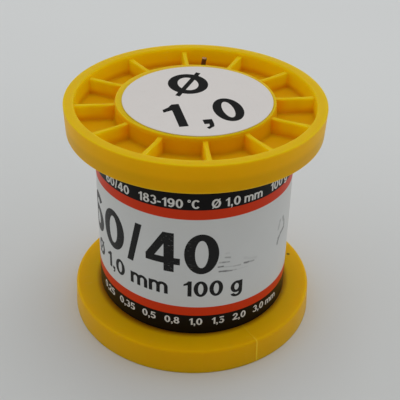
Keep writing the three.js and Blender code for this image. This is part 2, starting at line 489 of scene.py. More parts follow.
class Graph:
    """Adds and links the nodes of one material, world or node group."""

    def __init__(self, tree: NodeTree) -> None:
        """Starts on an emptied tree."""
        self.tree = tree
        tree.nodes.clear()

    def feed(self, target: Socket, value: object) -> None:
        """Links an output to an input, or sets a value on it.

        Args:
            target: the input.
            value: a socket, or a value, where a colour is given without its alpha.
        """
        if isinstance(value, Socket):
            self.tree.links.new(value, target)
        elif target.type == "RGBA":
            target.default_value = (*value, 1.0)
        else:
            target.default_value = value

    def fill(self, node: Node, **values: object) -> Node:
        """Sets a node's settings and inputs.

        Args:
            node: the node.
            values: its settings, and its inputs by name with spaces as underscores.

        Returns:
            The same node.
        """
        for key, value in values.items():
            if hasattr(node, key):
                setattr(node, key, value)
            else:
                title = key.replace("_", " ")
                self.feed(next(s for s in node.inputs if s.enabled and s.name == title), value)
        return node

    def add(self, kind: str, **values: object) -> Node:
        """Adds a node of a type, given without its ShaderNode prefix, and fills it."""
        prefix = "" if kind.startswith("NodeGroup") else "ShaderNode"
        return self.fill(self.tree.nodes.new(prefix + kind), **values)

    def math(self, operation: str, *values: object) -> Socket:
        """Adds a Math node.

        Args:
            operation: what it does.
            values: the numbers or sockets that it works on.

        Returns:
            Its output.
        """
        node = self.add("Math", operation=operation)
        for target, value in zip(node.inputs, values):
            self.feed(target, value)
        return node.outputs[0]

    def times(self, *factors: object) -> Socket:
        """Multiplies numbers and sockets."""
        return reduce(lambda first, second: self.math("MULTIPLY", first, second), factors)

    def vector(self, operation: str, first: object, second: object) -> Socket:
        """Adds a VectorMath node.

        Args:
            operation: what it does.
            first: its first vector.
            second: its second vector, or the number that it scales by.

        Returns:
            Its output, which is a number for a dot product or a distance.
        """
        node = self.add("VectorMath", operation=operation)
        self.feed(node.inputs[0], first)
        self.feed(node.inputs["Scale" if operation == "SCALE" else 1], second)
        return node.outputs["Value" if operation in {"DOT_PRODUCT", "DISTANCE"} else "Vector"]

    def split(self, vector: Socket) -> bpy.types.NodeOutputs:
        """The X, Y and Z of a vector."""
        return self.add("SeparateXYZ", Vector=vector).outputs

    def ramp(self, value: object, low: float, high: float) -> Socket:
        """Maps a value smoothly from 0 at low to 1 at high."""
        node = self.add("MapRange", interpolation_type="SMOOTHSTEP", Value=value)
        return self.fill(node, From_Min=low, From_Max=high).outputs["Result"]

    def fade(self, value: object, level: float, reach: Pair) -> Socket:
        """Maps a value smoothly from 0 to 1 over a reach, which is given from a level."""
        return self.ramp(value, level + reach[0], level + reach[1])

    def mix(self, share: object, first: object, second: object) -> Socket:
        """Mixes two colours by the share of the second."""
        node = self.add("Mix", data_type="RGBA", Factor=share, A=first, B=second)
        return next(output for output in node.outputs if output.enabled)

    def noise(
        self,
        place: Socket,
        size: float,
        stretch: Point = (1.0, 1.0, 1.0),
        detail: float = 3.0,
        shift: float = 0.0,
    ) -> Socket:
        """Adds noise of a real size.

        Args:
            place: the coordinates that it is laid on.
            size: the size of its features in metres.
            stretch: how much longer they are along each axis.
            detail: how many finer levels it has.
            shift: moves it to another part of the pattern.

        Returns:
            Its value, from 0 to 1.
        """
        scale = tuple(1.0 / along for along in stretch)
        mapped = self.add("Mapping", Vector=place, Location=(shift,) * 3, Scale=scale).outputs[0]
        texture = self.add("TexNoise", Vector=mapped, Scale=1.0 / size, Detail=detail)
        return self.fill(texture, Roughness=0.55).outputs[0]

    def group(self, tree: NodeTree, **values: object) -> Socket:
        """Places a shared group with its inputs filled, and gives its output."""
        return self.add("Group", node_tree=tree, **values).outputs[0]


class GroupGraph(Graph):
    """The graph of a shared group, whose inputs are read by name from its take."""

    KINDS = {"Colour": "Color", "Place": "Vector", "Start": "Vector", "Finish": "Vector"}

    def __init__(self, name: str, *inputs: str) -> None:
        """Starts a group.

        Args:
            name: the group's name.
            inputs: the names of its inputs.
        """
        super().__init__(bpy.data.node_groups.new(name, "ShaderNodeTree"))
        for title in inputs:
            self.add_socket(title, "INPUT")
        self.take = self.add("NodeGroupInput").outputs

    def add_socket(self, title: str, way: str) -> None:
        """Adds an input or output to the group, of the kind that its name says."""
        kind = "NodeSocket" + self.KINDS.get(title, "Float")
        self.tree.interface.new_socket(title, in_out=way, socket_type=kind)

    def texture(self, kind: str, share: float = 1.0, **values: object) -> Node:
        """Adds a texture on the group's Place, its Size spanning a share of the texture's cells."""
        scale = self.math("DIVIDE", share, self.take["Size"])
        return self.add(kind, **{"Vector": self.take["Place"], "Scale": scale, **values})

    def give(self, title: str, value: Socket) -> NodeTree:
        """Ends the group with its one output.

        Args:
            title: the output's name.
            value: what it gives.

        Returns:
            The finished group.
        """
        self.add_socket(title, "OUTPUT")
        self.add("NodeGroupOutput", **{title: value})
        return self.tree


class SharedGroups:
    """The effects that more than one finish uses, each built when it is first asked for."""

    @cached_property
    def mottle(self) -> NodeTree:
        """A slow drift of a colour's brightness, by an Amount over a Size.

        Returns:
            A group with a Colour output.
        """
        graph = GroupGraph("mottle", "Colour", "Place", "Amount", "Size")
        texture = graph.texture("TexNoise", Detail=4.0, Roughness=0.6)
        swing = graph.times(graph.math("SUBTRACT", texture.outputs[0], 0.5), graph.take["Amount"])
        level = graph.math("MULTIPLY_ADD", swing, 2.0, 1.0)
        return graph.give("Colour", graph.vector("SCALE", graph.take["Colour"], level))

    @cached_property
    def scuffs(self) -> NodeTree:
        """Fine scratches in short broken streaks.

        Returns:
            A group with a Mask output.
        """
        graph = GroupGraph("scuffs", "Place", "Amount", "Size")
        place = graph.take["Place"]
        marks = []
        for turn, shift in ((0.5, 0.0), (2.1, 0.37)):
            mapping = graph.add("Mapping", Vector=place, Location=(shift,) * 3)
            graph.fill(mapping, Rotation=(turn, turn * 0.7, turn), Scale=(0.06, 1.0, 1.0))
            drawn = mapping.outputs[0]
            texture = graph.texture("TexNoise", Vector=drawn, Detail=2.0, Roughness=0.5)
            marks.append(graph.ramp(texture.outputs[0], 0.66, 0.72))
        patch = graph.ramp(graph.noise(place, 0.006, shift=0.2), 0.45, 0.65)
        both = graph.math("MAXIMUM", *marks)
        return graph.give("Mask", graph.times(both, patch, graph.take["Amount"]))

    @cached_property
    def grain(self) -> NodeTree:
        """The fine relief of a moulded, drawn or printed surface.

        Returns:
            A group with a Height output, from 0 to 1.
        """
        graph = GroupGraph("grain", "Place", "Size", "Waviness")
        fine = graph.texture("TexNoise", Detail=5.0, Roughness=0.6)
        slow = graph.noise(graph.take["Place"], 0.005, detail=1.0)
        slow = graph.times(slow, graph.take["Waviness"])
        return graph.give("Height", graph.math("ADD", fine.outputs[0], slow))

    @cached_property
    def specks(self) -> NodeTree:
        """Small scattered specks, such as dust or dirt.

        Returns:
            A group with a Mask output.
        """
        graph = GroupGraph("specks", "Place", "Amount", "Size")
        texture = graph.texture("TexVoronoi", 0.25, Randomness=1.0)
        near = graph.ramp(texture.outputs["Distance"], 0.14, 0.06)
        patch = graph.ramp(graph.noise(graph.take["Place"], 0.004, shift=0.6), 0.52, 0.62)
        return graph.give("Mask", graph.times(near, patch, graph.take["Amount"]))

    @cached_property
    def streak(self) -> NodeTree:
        """One soft streak between two points of a flat pattern, broken up along its length.

        Returns:
            A group with a Mask output.
        """
        graph = GroupGraph("streak", "Place", "Start", "Finish", "Width", "Amount")
        take = graph.take
        whole = graph.vector("SUBTRACT", take["Finish"], take["Start"])
        here = graph.vector("SUBTRACT", take["Place"], take["Start"])
        reached = graph.vector("DOT_PRODUCT", here, whole)
        share = graph.math("DIVIDE", reached, graph.vector("DOT_PRODUCT", whole, whole))
        share.node.use_clamp = True
        off = graph.vector("DISTANCE", here, graph.vector("SCALE", whole, share))
        ragged = graph.noise(take["Place"], 0.0007, (1.6, 1.0, 1.0))
        off = graph.math("DIVIDE", off, take["Width"])
        off = graph.math("ADD", off, graph.times(ragged, 1.6))
        return graph.give("Mask", graph.times(graph.ramp(off, 1.9, 0.9), take["Amount"]))


class Surface(Graph):
    """The shader graph of one finish, with the effects that the finishes share."""

    def __init__(self, name: str, groups: SharedGroups) -> None:
        """Starts a material with a Principled shader.

        Args:
            name: the material's name.
            groups: the shared shader groups.
        """
        self.material = bpy.data.materials.new(name)
        self.material.use_nodes = True
        super().__init__(self.material.node_tree)
        self.groups = groups
        self.shader = self.add("BsdfPrincipled")
        self.add("OutputMaterial", Surface=self.shader.outputs[0])
        self.place = self.add("TexCoord").outputs["Object"]

    def mottled(self, colour: object, amount: float, size: float) -> Socket:
        """A colour whose brightness drifts by an amount over a size."""
        values = {"Colour": colour, "Place": self.place, "Amount": amount, "Size": size}
        return self.group(self.groups.mottle, **values)

    def marks(self, tree: NodeTree, amount: float, size: float) -> Socket:
        """The mask of a shared group of marks."""
        return self.group(tree, Place=self.place, Amount=amount, Size=size)

    def uneven(self, base: float, swing: float, pattern: Socket) -> Socket:
        """A roughness that rises from its base by a swing where a pattern says."""
        return self.math("ADD", self.times(pattern, swing), base)

    def finish(self, grain: Point, **values: object) -> Material:
        """Gives the shader its relief and its inputs.

        Args:
            grain: the relief's size in metres, its waviness and its depth in metres.
            values: the shader's inputs by name with spaces as underscores.

        Returns:
            The finished material.
        """
        size, waviness, depth = grain
        height = self.group(self.groups.grain, Place=self.place, Size=size, Waviness=waviness)
        bump = self.add("Bump", Strength=1.0, Distance=depth, Height=height)
        self.fill(self.shader, Normal=bump.outputs["Normal"], **values)
        return self.material


# --- Finishes ---


@dataclass(frozen=True)
class MouldedPlastic:
    """Satin moulded plastic, with painted light and shade in its colour.

    The colour drifts with the place on the spool, as painted light and shade on one plastic:
    up-facing tops of the upper rim and ribs take their own copy of the colour, darker than the
    walls'; the inside of the rim is painted brighter, as a glow of light let through its wall; the
    hub's wall, the pocket floors, the rim's outer wall and the lower flange are painted in darker,
    more orange tones, as painted shade. Each reach says where a change starts and ends, measured
    from the edge or level that it is at.
    """

    top: float
    pocket_floor: float
    hub_radius: float
    rim_inner_radius: float
    label_radius: float
    seam_angle: float
    name: str = "yellow_moulded_plastic"
    # painted light and shade: the copy of the colour for up-facing tops near the top, set apart
    # from the walls' by how light falls
    upper: Colour = (0.78, 0.51, 0.003)
    sides: Colour = (0.87, 0.58, 0.002)
    # painted shade: the rim's outer wall is painted in a more orange tone than the walls inside
    outer_wall_shade: Colour = (0.86, 0.475, 0.002)
    # painted shade: the lower flange and the lower rim's outer wall are painted darker than the
    # upper flange
    lower_flange_shade: Colour = (0.82, 0.47, 0.002)
    lower_outer_wall_shade: Colour = (0.75, 0.40, 0.002)
    foot_shade: Colour = (0.40, 0.16, 0.002)
    # painted highlight: a pale line along one of the two parting lines, brightest on the rim
    seam_highlight: Colour = (0.98, 0.72, 0.06)
    speck: Colour = (0.22, 0.11, 0.004)
    speck_place: Point = (21.97 * MM, 4.67 * MM, 5.4 * MM)
    speck_reach: Pair = (0.2 * MM, 0.5 * MM)
    # painted light: the inside of the rim is painted brighter, as a glow of light let through the
    # wall
    rim_inside_glow: Colour = (0.96, 0.66, 0.002)
    # painted shade: the hub's wall is painted more orange
    hub_wall_shade: Colour = (0.88, 0.45, 0.002)
    # painted shade: the pocket floors are painted darker
    floors: Colour = (0.76, 0.41, 0.002)
    hub_reach: Pair = (0.3 * MM, 3 * MM)
    rim_glow_start: float = 4 * MM
    rim_reach: Pair = (0.1 * MM, 0.5 * MM)
    lower_rim_reach: Pair = (1.4 * MM, 1.75 * MM)
    flange_reach: Pair = (-MM, MM)
    floor_reach: Pair = (0.0, 1.5 * MM)
    top_reach: Pair = (-1.8 * MM, -0.4 * MM)
    facing_up: Pair = (0.05, 0.9)
    foot_reach: Pair = (0.0, 1.3 * MM)
    seam_width: Pair = (0.22 * MM, 0.08 * MM)
    seam_rim_reach: Pair = (0.0, 1.8 * MM)
    seam_strength: Pair = (0.08, 0.5)
    sheen: Colour = (1.0, 0.82, 0.12)
    dust: Colour = (0.72, 0.62, 0.30)
    dust_strength: float = 0.25
    roughness: float = 0.36
    roughness_swing: float = 0.12
    roughness_size: float = 3 * MM
    scuff_roughness: float = 0.2
    specks: Pair = (0.35, 0.12 * MM)
    scuffs: Pair = (0.5, 0.25 * MM)
    mottle: Pair = (0.05, 7 * MM)
    grain: Point = (0.25 * MM, 2.5, 0.008 * MM)

    def tone(self, surface: Surface) -> Socket:
        """The plastic's colour at a place on the spool, with painted light and shade by place and
        facing.

        Args:
            surface: the material's graph.

        Returns:
            The colour.
        """
        part = surface.split(surface.place)
        height = part["Z"]
        across, along = (surface.math("POWER", part[axis], 2.0) for axis in "XY")
        radius = surface.math("SQRT", surface.math("ADD", across, along))
        normal = surface.split(surface.add("NewGeometry").outputs["Normal"])
        facing_up = surface.ramp(normal["Z"], *self.facing_up)
        rim = self.rim_inner_radius
        near_rim = surface.ramp(radius, self.hub_radius + self.rim_glow_start, rim - MM)
        past_rim = surface.fade(radius, rim, self.rim_reach)
        inside = surface.times(near_rim, surface.math("SUBTRACT", 1.0, past_rim))
        off_hub = surface.fade(radius, self.hub_radius, self.hub_reach)
        off_floor = surface.fade(height, self.pocket_floor, self.floor_reach)
        colour = surface.mix(off_hub, self.hub_wall_shade, self.sides)
        colour = surface.mix(inside, colour, self.rim_inside_glow)
        colour = surface.mix(past_rim, colour, self.outer_wall_shade)
        colour = surface.mix(off_floor, self.floors, colour)
        lower = self.lower_tone(surface, radius)
        upper_flange = surface.fade(height, self.top / 2, self.flange_reach)
        colour = surface.mix(upper_flange, lower, colour)
        near_top = surface.fade(height, self.top, self.top_reach)
        # painted light and shade: up-facing tops near the top take their own copy of the colour
        return surface.mix(surface.times(facing_up, near_top), colour, self.upper)

    def lower_tone(self, surface: Surface, radius: Socket) -> Socket:
        """The colour of the lower flange, with painted shade, a painted highlight along the parting
        line and a real speck of dirt.

        Args:
            surface: the material's graph.
            radius: the distance from the axis.

        Returns:
            The colour.
        """
        off_foot = surface.fade(radius, self.label_radius, self.foot_reach)
        colour = surface.mix(off_foot, self.foot_shade, self.lower_flange_shade)
        past_edge = surface.fade(radius, self.rim_inner_radius, self.lower_rim_reach)
        colour = surface.mix(past_edge, colour, self.lower_outer_wall_shade)
        colour = surface.mix(self.seam_highlight_mask(surface, radius), colour, self.seam_highlight)
        away = surface.vector("DISTANCE", surface.place, self.speck_place)
        return surface.mix(surface.ramp(away, *self.speck_reach), self.speck, colour)

    def seam_highlight_mask(self, surface: Surface, radius: Socket) -> Socket:
        """Where a painted highlight lies along the mould's parting line.

        Args:
            surface: the material's graph.
            radius: the distance from the axis.

        Returns:
            Its mask, strongest on the rim.
        """
        ahead, aside = (
            surface.vector("DOT_PRODUCT", surface.place, polar(1.0, self.seam_angle + turn, 0.0))
            for turn in (0.0, 90.0)
        )
        near = surface.ramp(surface.math("ABSOLUTE", aside), *self.seam_width)
        side = surface.math("GREATER_THAN", ahead, 0.0)
        least, gain = self.seam_strength
        on_rim = surface.fade(radius, self.rim_inner_radius, self.seam_rim_reach)
        return surface.times(near, side, surface.uneven(least, gain, on_rim))

    def build(self, groups: SharedGroups) -> Material:
        """Builds the material.

        Args:
            groups: the shared shader groups.

        Returns:
            The material.
        """
        surface = Surface(self.name, groups)
        colour = surface.mottled(self.tone(surface), *self.mottle)
        specks = surface.marks(groups.specks, *self.specks)
        scuffs = surface.marks(groups.scuffs, *self.scuffs)
        marks = surface.times(surface.math("MAXIMUM", specks, scuffs), self.dust_strength)
        pattern = surface.noise(surface.place, self.roughness_size)
        rough = surface.uneven(self.roughness, self.roughness_swing, pattern)
        return surface.finish(
            self.grain,
            Base_Color=surface.mix(marks, colour, self.dust),
            Roughness=surface.math("ADD", rough, surface.times(scuffs, self.scuff_roughness)),
            Specular_Tint=self.sheen,
            Specular_IOR_Level=0.13,
            Subsurface_Weight=0.8,
            Subsurface_Radius=(1.0, 0.75, 0.05),
            Subsurface_Scale=0.0025,
        )


@dataclass(frozen=True)
class DrawnSolder:
    """Dull bright tin-lead wire, darker where it has oxidised. Its open end is painted dark brown
    as painted shade with a painted reflection of the yellow walls, and its cut face is painted tan
    as a painted highlight.
    """

    end_foot: float
    end_head: float
    name: str = "drawn_solder"
    bright: Colour = (0.52, 0.52, 0.51)
    oxide: Colour = (0.22, 0.21, 0.20)
    # painted shade and reflection: the open end above the pocket floor is painted dark brown and
    # less metallic
    painted_end_shade: Colour = (0.10, 0.040, 0.010)
    painted_end_shade_reach: Pair = (0.0, 0.4 * MM)
    # painted highlight: the cut face at the tip is painted a lighter tan
    cut_face_highlight: Colour = (0.50, 0.25, 0.09)
    cut_reach: Pair = (-0.16 * MM, -0.10 * MM)
    patch_size: float = 1.6 * MM
    patch_reach: Pair = (0.42, 0.72)
    roughness: float = 0.34
    patch_roughness: float = 0.25
    metallic: float = 0.95
    painted_end_shade_loss: float = 0.85
    mottle: Pair = (0.15, 2 * MM)
    grain: Point = (0.12 * MM, 0.6, 0.01 * MM)

    def build(self, groups: SharedGroups) -> Material:
        """Builds the material.

        Args:
            groups: the shared shader groups.

        Returns:
            The material.
        """
        surface = Surface(self.name, groups)
        pattern = surface.noise(surface.place, self.patch_size, detail=4.0)
        patches = surface.ramp(pattern, *self.patch_reach)
        colour = surface.mix(patches, self.bright, self.oxide)
        height = surface.split(surface.place)["Z"]
        open_end = surface.fade(height, self.end_foot, self.painted_end_shade_reach)
        cut = surface.fade(height, self.end_head, self.cut_reach)
        colour = surface.mix(open_end, colour, self.painted_end_shade)
        colour = surface.mix(cut, colour, self.cut_face_highlight)
        loss = surface.times(open_end, self.painted_end_shade_loss)
        return surface.finish(
            self.grain,
            Base_Color=surface.mottled(colour, *self.mottle),
            Roughness=surface.uneven(self.roughness, self.patch_roughness, patches),
            Metallic=surface.math("SUBTRACT", self.metallic, loss),
        )


@dataclass(frozen=True)
class Rosin:
    """Brittle amber rosin."""

    name: str = "amber_rosin"
    clear: Colour = (0.50, 0.18, 0.02)
    cloudy: Colour = (0.62, 0.36, 0.10)
    cloud_size: float = 0.2 * MM
    roughness: float = 0.2
    grain: Point = (0.08 * MM, 0.2, 0.01 * MM)

    def build(self, groups: SharedGroups) -> Material:
        """Builds the material.

        Args:
            groups: the shared shader groups.

        Returns:
            The material.
        """
        surface = Surface(self.name, groups)
        cloud = surface.ramp(surface.noise(surface.place, self.cloud_size), 0.4, 0.7)
        colour = surface.mix(cloud, self.clear, self.cloudy)
        return surface.finish(self.grain, Base_Color=colour, Roughness=self.roughness)


@dataclass(frozen=True)
class Streak:
    """A worn or dirty streak on the label, between two places, in degrees and millimetres."""

    start_angle: float
    start_height: float
    finish_angle: float
    finish_height: float
    width: float
    amount: float

    def mask(self, surface: Surface, place: Socket) -> Socket:
        """Where the streak lies.

        Args:
            surface: the label's graph.
            place: the place on the unrolled label.

        Returns:
            Its mask.
        """
        start = (math.radians(self.start_angle) * LABEL_RADIUS, self.start_height * MM, 0.0)
        finish = (math.radians(self.finish_angle) * LABEL_RADIUS, self.finish_height * MM, 0.0)
        values = {"Start": start, "Finish": finish, "Width": self.width * MM}
        return surface.group(surface.groups.streak, Place=place, Amount=self.amount, **values)


DIRT_STREAKS = (
    Streak(-77.9, 24.55, -76.4, 24.5, 0.35, 0.12),
    Streak(-78.3, 23.65, -75.7, 23.45, 0.28, 0.45),
    Streak(-81.7, 22.65, -79.7, 22.57, 0.24, 0.35),
    Streak(-79.7, 22.57, -76.1, 22.5, 0.26, 0.6),
    Streak(-82.2, 21.6, -79.6, 21.64, 0.26, 0.9),
    Streak(-79.6, 21.5, -73.3, 21.2, 0.2, 0.22),
    Streak(-73.3, 21.2, -68.9, 21.1, 0.24, 0.35),
    Streak(-66.4, 21.2, -63.4, 21.1, 0.3, 0.75),
    Streak(-63.4, 21.1, -59.9, 20.95, 0.24, 0.45),
    Streak(-81.5, 20.5, -77.8, 20.4, 0.28, 0.8),
    Streak(-77.8, 20.4, -73.9, 20.27, 0.24, 0.65),
    Streak(-73.9, 20.27, -71.5, 20.23, 0.2, 0.35),
    Streak(-71.5, 20.2, -64.0, 20.15, 0.2, 0.1),
    Streak(-66.2, 22.3, -58.3, 21.4, 0.5, 0.1),
    Streak(-33.8, 26.6, -31.2, 24.9, 0.5, 0.5),
    Streak(-31.2, 24.9, -31.3, 23.7, 0.5, 0.55),
    Streak(-31.3, 23.7, -35.6, 22.9, 0.5, 0.75),
    Streak(-35.6, 22.9, -38.0, 22.3, 0.5, 0.7),
    Streak(-38.0, 22.3, -38.8, 21.16, 0.5, 0.6),
    Streak(-37.3, 26.4, -38.8, 24.6, 0.45, 0.35),
)


@dataclass(frozen=True)
class PrintedLabel:
    """Coated label paper printed with plain bands, from black at its foot to black at its top."""

    name: str = "printed_label_paper"
    paper: Colour = (0.66, 0.67, 0.66)
    band: Colour = (0.65, 0.038, 0.004)
    edge_band: Colour = (0.004, 0.003, 0.003)
    band_levels: tuple[float, ...] = (10.07 * MM, 12.2 * MM, 32.66 * MM, 34.75 * MM)
    soft_edge: Pair = (-0.05 * MM, 0.05 * MM)
    dirt: Colour = (0.10, 0.10, 0.10)
    roughness: float = 0.30
    roughness_swing: float = 0.15
    roughness_size: float = 4 * MM
    sheen: float = 0.12
    mottle: Pair = (0.04, 9 * MM)
    grain: Point = (0.2 * MM, 3.0, 0.006 * MM)

    def bands(self, surface: Surface) -> Socket:
        """The printed bands, which slant towards the label's foot.

        Args:
            surface: the material's graph.

        Returns:
            The colour.
        """
        height = surface.split(surface.place)["Z"]
        none, full = SLANT_LEVELS
        share = surface.add("MapRange", Value=height, From_Min=none, From_Max=full).outputs[0]
        drop = surface.vector("DOT_PRODUCT", surface.place, PRINT_SLANT)
        height = surface.math("ADD", height, surface.times(drop, share))
        colour = self.edge_band
        above = (self.band, self.paper, self.band, self.edge_band)
        for level, next_colour in zip(self.band_levels, above):
            past = surface.fade(height, level, self.soft_edge)
            colour = surface.mix(past, colour, next_colour)
        return colour

    def dirt_mask(self, surface: Surface) -> Socket:
        """Where the label is streaked, laid out on the unrolled label.

        Args:
            surface: the material's graph.

        Returns:
            The mask.
        """
        part = surface.split(surface.place)
        length = surface.times(surface.math("ARCTAN2", part["Y"], part["X"]), LABEL_RADIUS)
        flat = surface.add("CombineXYZ", X=length, Y=part["Z"]).outputs[0]
        masks = [streak.mask(surface, flat) for streak in DIRT_STREAKS]
        return reduce(lambda marks, mask: surface.math("MAXIMUM", mask, marks), masks, 0.0)

    def build(self, groups: SharedGroups) -> Material:
        """Builds the material.

        Args:
            groups: the shared shader groups.

        Returns:
            The material.
        """
        surface = Surface(self.name, groups)
        colour = surface.mix(self.dirt_mask(surface), self.bands(surface), self.dirt)
        pattern = surface.noise(surface.place, self.roughness_size)
        return surface.finish(
            self.grain,
            Base_Color=surface.mottled(colour, *self.mottle),
            Roughness=surface.uneven(self.roughness, self.roughness_swing, pattern),
            Specular_IOR_Level=self.sheen,
        )


@dataclass(frozen=True)
class StickerPaper:
    """Plain matt sticker paper."""

    name: str = "sticker_paper"
    paper: Colour = (0.775, 0.74, 0.715)
    fibre: Colour = (0.68, 0.64, 0.60)
    fibre_size: float = 0.2 * MM
    fibre_stretch: Point = (1.0, 6.0, 1.0)
    fibre_strength: float = 0.4
    roughness: float = 0.6
    mottle: Pair = (0.03, 6 * MM)
    grain: Point = (0.15 * MM, 1.5, 0.008 * MM)

    def build(self, groups: SharedGroups) -> Material:
        """Builds the material.

        Args:
            groups: the shared shader groups.

        Returns:
            The material.
        """
        surface = Surface(self.name, groups)
        pattern = surface.noise(surface.place, self.fibre_size, self.fibre_stretch)
        fibres = surface.times(surface.ramp(pattern, 0.55, 0.8), self.fibre_strength)
        colour = surface.mix(fibres, self.paper, self.fibre)
        colour = surface.mottled(colour, *self.mottle)
        return surface.finish(self.grain, Base_Color=colour, Roughness=self.roughness)


@dataclass(frozen=True)
class Ink:
    """A printed ink, broken up where it has worn."""

    name: str
    colour: Colour
    worn: Colour
    roughness: float = 0.38
    sheen: float = 0.2
    scuffs: Pair = (0.5, 0.2 * MM)
    mottle: Pair = (0.12, MM)
    grain: Point = (0.1 * MM, 0.5, 0.005 * MM)

    def build(self, groups: SharedGroups) -> Material:
        """Builds the material.

        Args:
            groups: the shared shader groups.

        Returns:
            The material.
        """
        surface = Surface(self.name, groups)
        scuffs = surface.marks(groups.scuffs, *self.scuffs)
        colour = surface.mix(scuffs, self.colour, self.worn)
        return surface.finish(
            self.grain,
            Base_Color=surface.mottled(colour, *self.mottle),
            Roughness=self.roughness,
            Specular_IOR_Level=self.sheen,
        )


# --- Spool ---


@dataclass
class SpoolMoulding:
    """The one-piece plastic spool: two ribbed flanges on a hollow drum."""

    flange_radius: float
    height: float
    lower_rim_height: float = 5.4 * MM
    upper_rim_height: float = 5.9 * MM
    rim_wall: float = 2.05 * MM
    rim_draft: float = 0.25 * MM
    rim_end_rounding: float = 0.22 * MM
    rim_face_rounding: float = 0.5 * MM
    rim_inner_rounding: float = 0.35 * MM
    pocket_depth: float = 3.8 * MM
    drum_radius: float = DRUM_RADIUS
    drum_wall: float = 1.6 * MM
    drum_foot_rounding: float = 0.3 * MM
    hub_setback: float = 0.2 * MM
    hub_draft: float = 0.12 * MM
    hub_rounding: float = 0.15 * MM
    plate: float = 1.6 * MM
    plate_foot_rounding: float = 0.5 * MM
    spindle_hole_radius: float = 5.0 * MM
    bore_rounding: float = 0.2 * MM
    rib_count: int = 12
    rib_top: float = 0.9 * MM
    rib_root: float = 1.15 * MM
    rib_setback: float = 0.8 * MM
    pocket_ledge: float = 0.04 * MM
    pocket_draft: float = 0.12 * MM
    pocket_rounding: float = 0.4 * MM
    pocket_corner_angle: float = math.radians(45.0)
    shortest_rib: float = 3 * MM
    rib_edge_rounding: float = 0.26 * MM
    wire_hole_radius: float = 0.95 * MM
    wire_hole_place: Pair = (18.5 * MM, WIRE_END_ANGLE)
    seam_angle: float = -65.3
    seam_sweep: float = 0.65
    seam_rise: float = 0.09 * MM
    seam_root: float = 0.5 * MM

    @property
    def rim_inner_radius(self) -> float:
        """The inside radius of each rim."""
        return self.flange_radius - self.rim_wall

    @property
    def pocket_floor(self) -> float:
        """The height of the upper flange's pocket floors."""
        return self.height - self.pocket_depth

    @property
    def upper_face(self) -> float:
        """The height of the upper flange's underside."""
        return self.height - self.upper_rim_height

    @property
    def rib_level(self) -> float:
        """The height of the upper flange's rib tops."""
        return self.height - self.rib_setback

    def flange_outline(self, rim_height: float) -> list[Corner]:
        """A flange's outline with its end at height 0 and the pockets not yet cut.

        Args:
            rim_height: the height of its rim.

        Returns:
            The corners, from the hub's edge out round the rim and back in to the drum.
        """
        rim_in = self.rim_inner_radius
        face_edge = self.flange_radius - self.rim_draft
        end_edge = self.flange_radius + self.rim_draft * self.rim_end_rounding / rim_height
        return [
            Corner(self.drum_radius - self.hub_draft, self.hub_setback, self.hub_rounding),
            Corner(self.drum_radius, self.rib_setback),
            Corner(rim_in, self.rib_setback),
            Corner(rim_in, 0.0, self.rim_inner_rounding),
            Corner(end_edge, 0.0, self.rim_end_rounding),
            Corner(face_edge, rim_height, self.rim_face_rounding, 6),
            Corner(self.drum_radius, rim_height, self.drum_foot_rounding),
        ]

    def outline(self) -> list[Corner]:
        """The whole spool's outline, with the pockets not yet cut.

        Returns:
            The corners, from the bore's lower edge round by the rims.
        """
        upper = [
            Corner(corner.radius, self.height - corner.height, corner.rounding, corner.steps)
            for corner in reversed(self.flange_outline(self.upper_rim_height))
        ]
        plate_top = self.height - self.hub_setback
        plate_foot = plate_top - self.plate
        bore = self.drum_radius - self.drum_wall
        return [
            Corner(bore, self.hub_setback, self.bore_rounding),
            *self.flange_outline(self.lower_rim_height),
            *upper,
            Corner(self.spindle_hole_radius, plate_top, self.bore_rounding),
            Corner(self.spindle_hole_radius, plate_foot, self.bore_rounding),
            Corner(bore, plate_foot, self.plate_foot_rounding),
        ]

    def pocket(self) -> Object:
        """One pocket of the upper flange as a solid, between the ribs at 0 and 30 degrees.

        Returns:
            The solid to cut away.
        """
        floor = self.pocket_floor
        step = FULL_TURN / self.rib_count
        inner = self.drum_radius + self.pocket_ledge
        outer = self.rim_inner_radius - self.pocket_ledge
        above = self.rib_level + MM
        outline = [
            Corner(inner + self.pocket_draft, floor),
            Corner(outer - self.pocket_draft, floor),
            Corner(outer, self.rib_level),
            Corner(outer, above),
            Corner(inner, above),
            Corner(inner, self.rib_level),
        ]
        piece = turned("pocket", outline, sweep=step, steps=6)
        taper = (self.rib_root - self.rib_top) / 2 / (self.rib_level - floor)
        with editing(piece):
            for angle, side in ((0.0, -1.0), (step, 1.0)):
                across = polar(side, angle + 90.0, 0.0)
                wall = -across * self.rib_top / 2
                wall.z = self.rib_level
                slope = (across.x, across.y, -taper)
                take_all()
                bpy.ops.mesh.bisect(plane_co=wall, plane_no=slope, use_fill=True, clear_outer=True)
            seal()
            round_edges(piece, self.is_pocket_corner, self.pocket_rounding, 4)
        close_up(piece)
        return piece

    def is_pocket_corner(self, edge: bmesh.types.BMEdge) -> bool:
        """Finds the edges of a pocket solid that the moulding has rounded.

        Args:
            edge: an edge of the solid.

        Returns:
            Whether it is one of them.
        """
        heights = [vertex.co.z for vertex in edge.verts]
        upright = abs(heights[0] - heights[1]) > MM
        if max(heights) > self.rib_level + MM / 2 and not upright:
            return False
        return edge.calc_face_angle(0.0) > self.pocket_corner_angle

    def is_rib_edge(self, edge: bmesh.types.BMEdge) -> bool:
        """Finds the long outer edges of the ribs, on either flange.

        Args:
            edge: an edge of the spool.

        Returns:
            Whether it is one of them.
        """
        level = any(
            all(abs(vertex.co.z - height) < MM / 200 for vertex in edge.verts)
            for height in (self.rib_level, self.rib_setback)
        )
        inner, outer = (vertex.co.xy.length for vertex in edge.verts)
        return level and abs(inner - outer) > self.shortest_rib and is_sharp(edge)

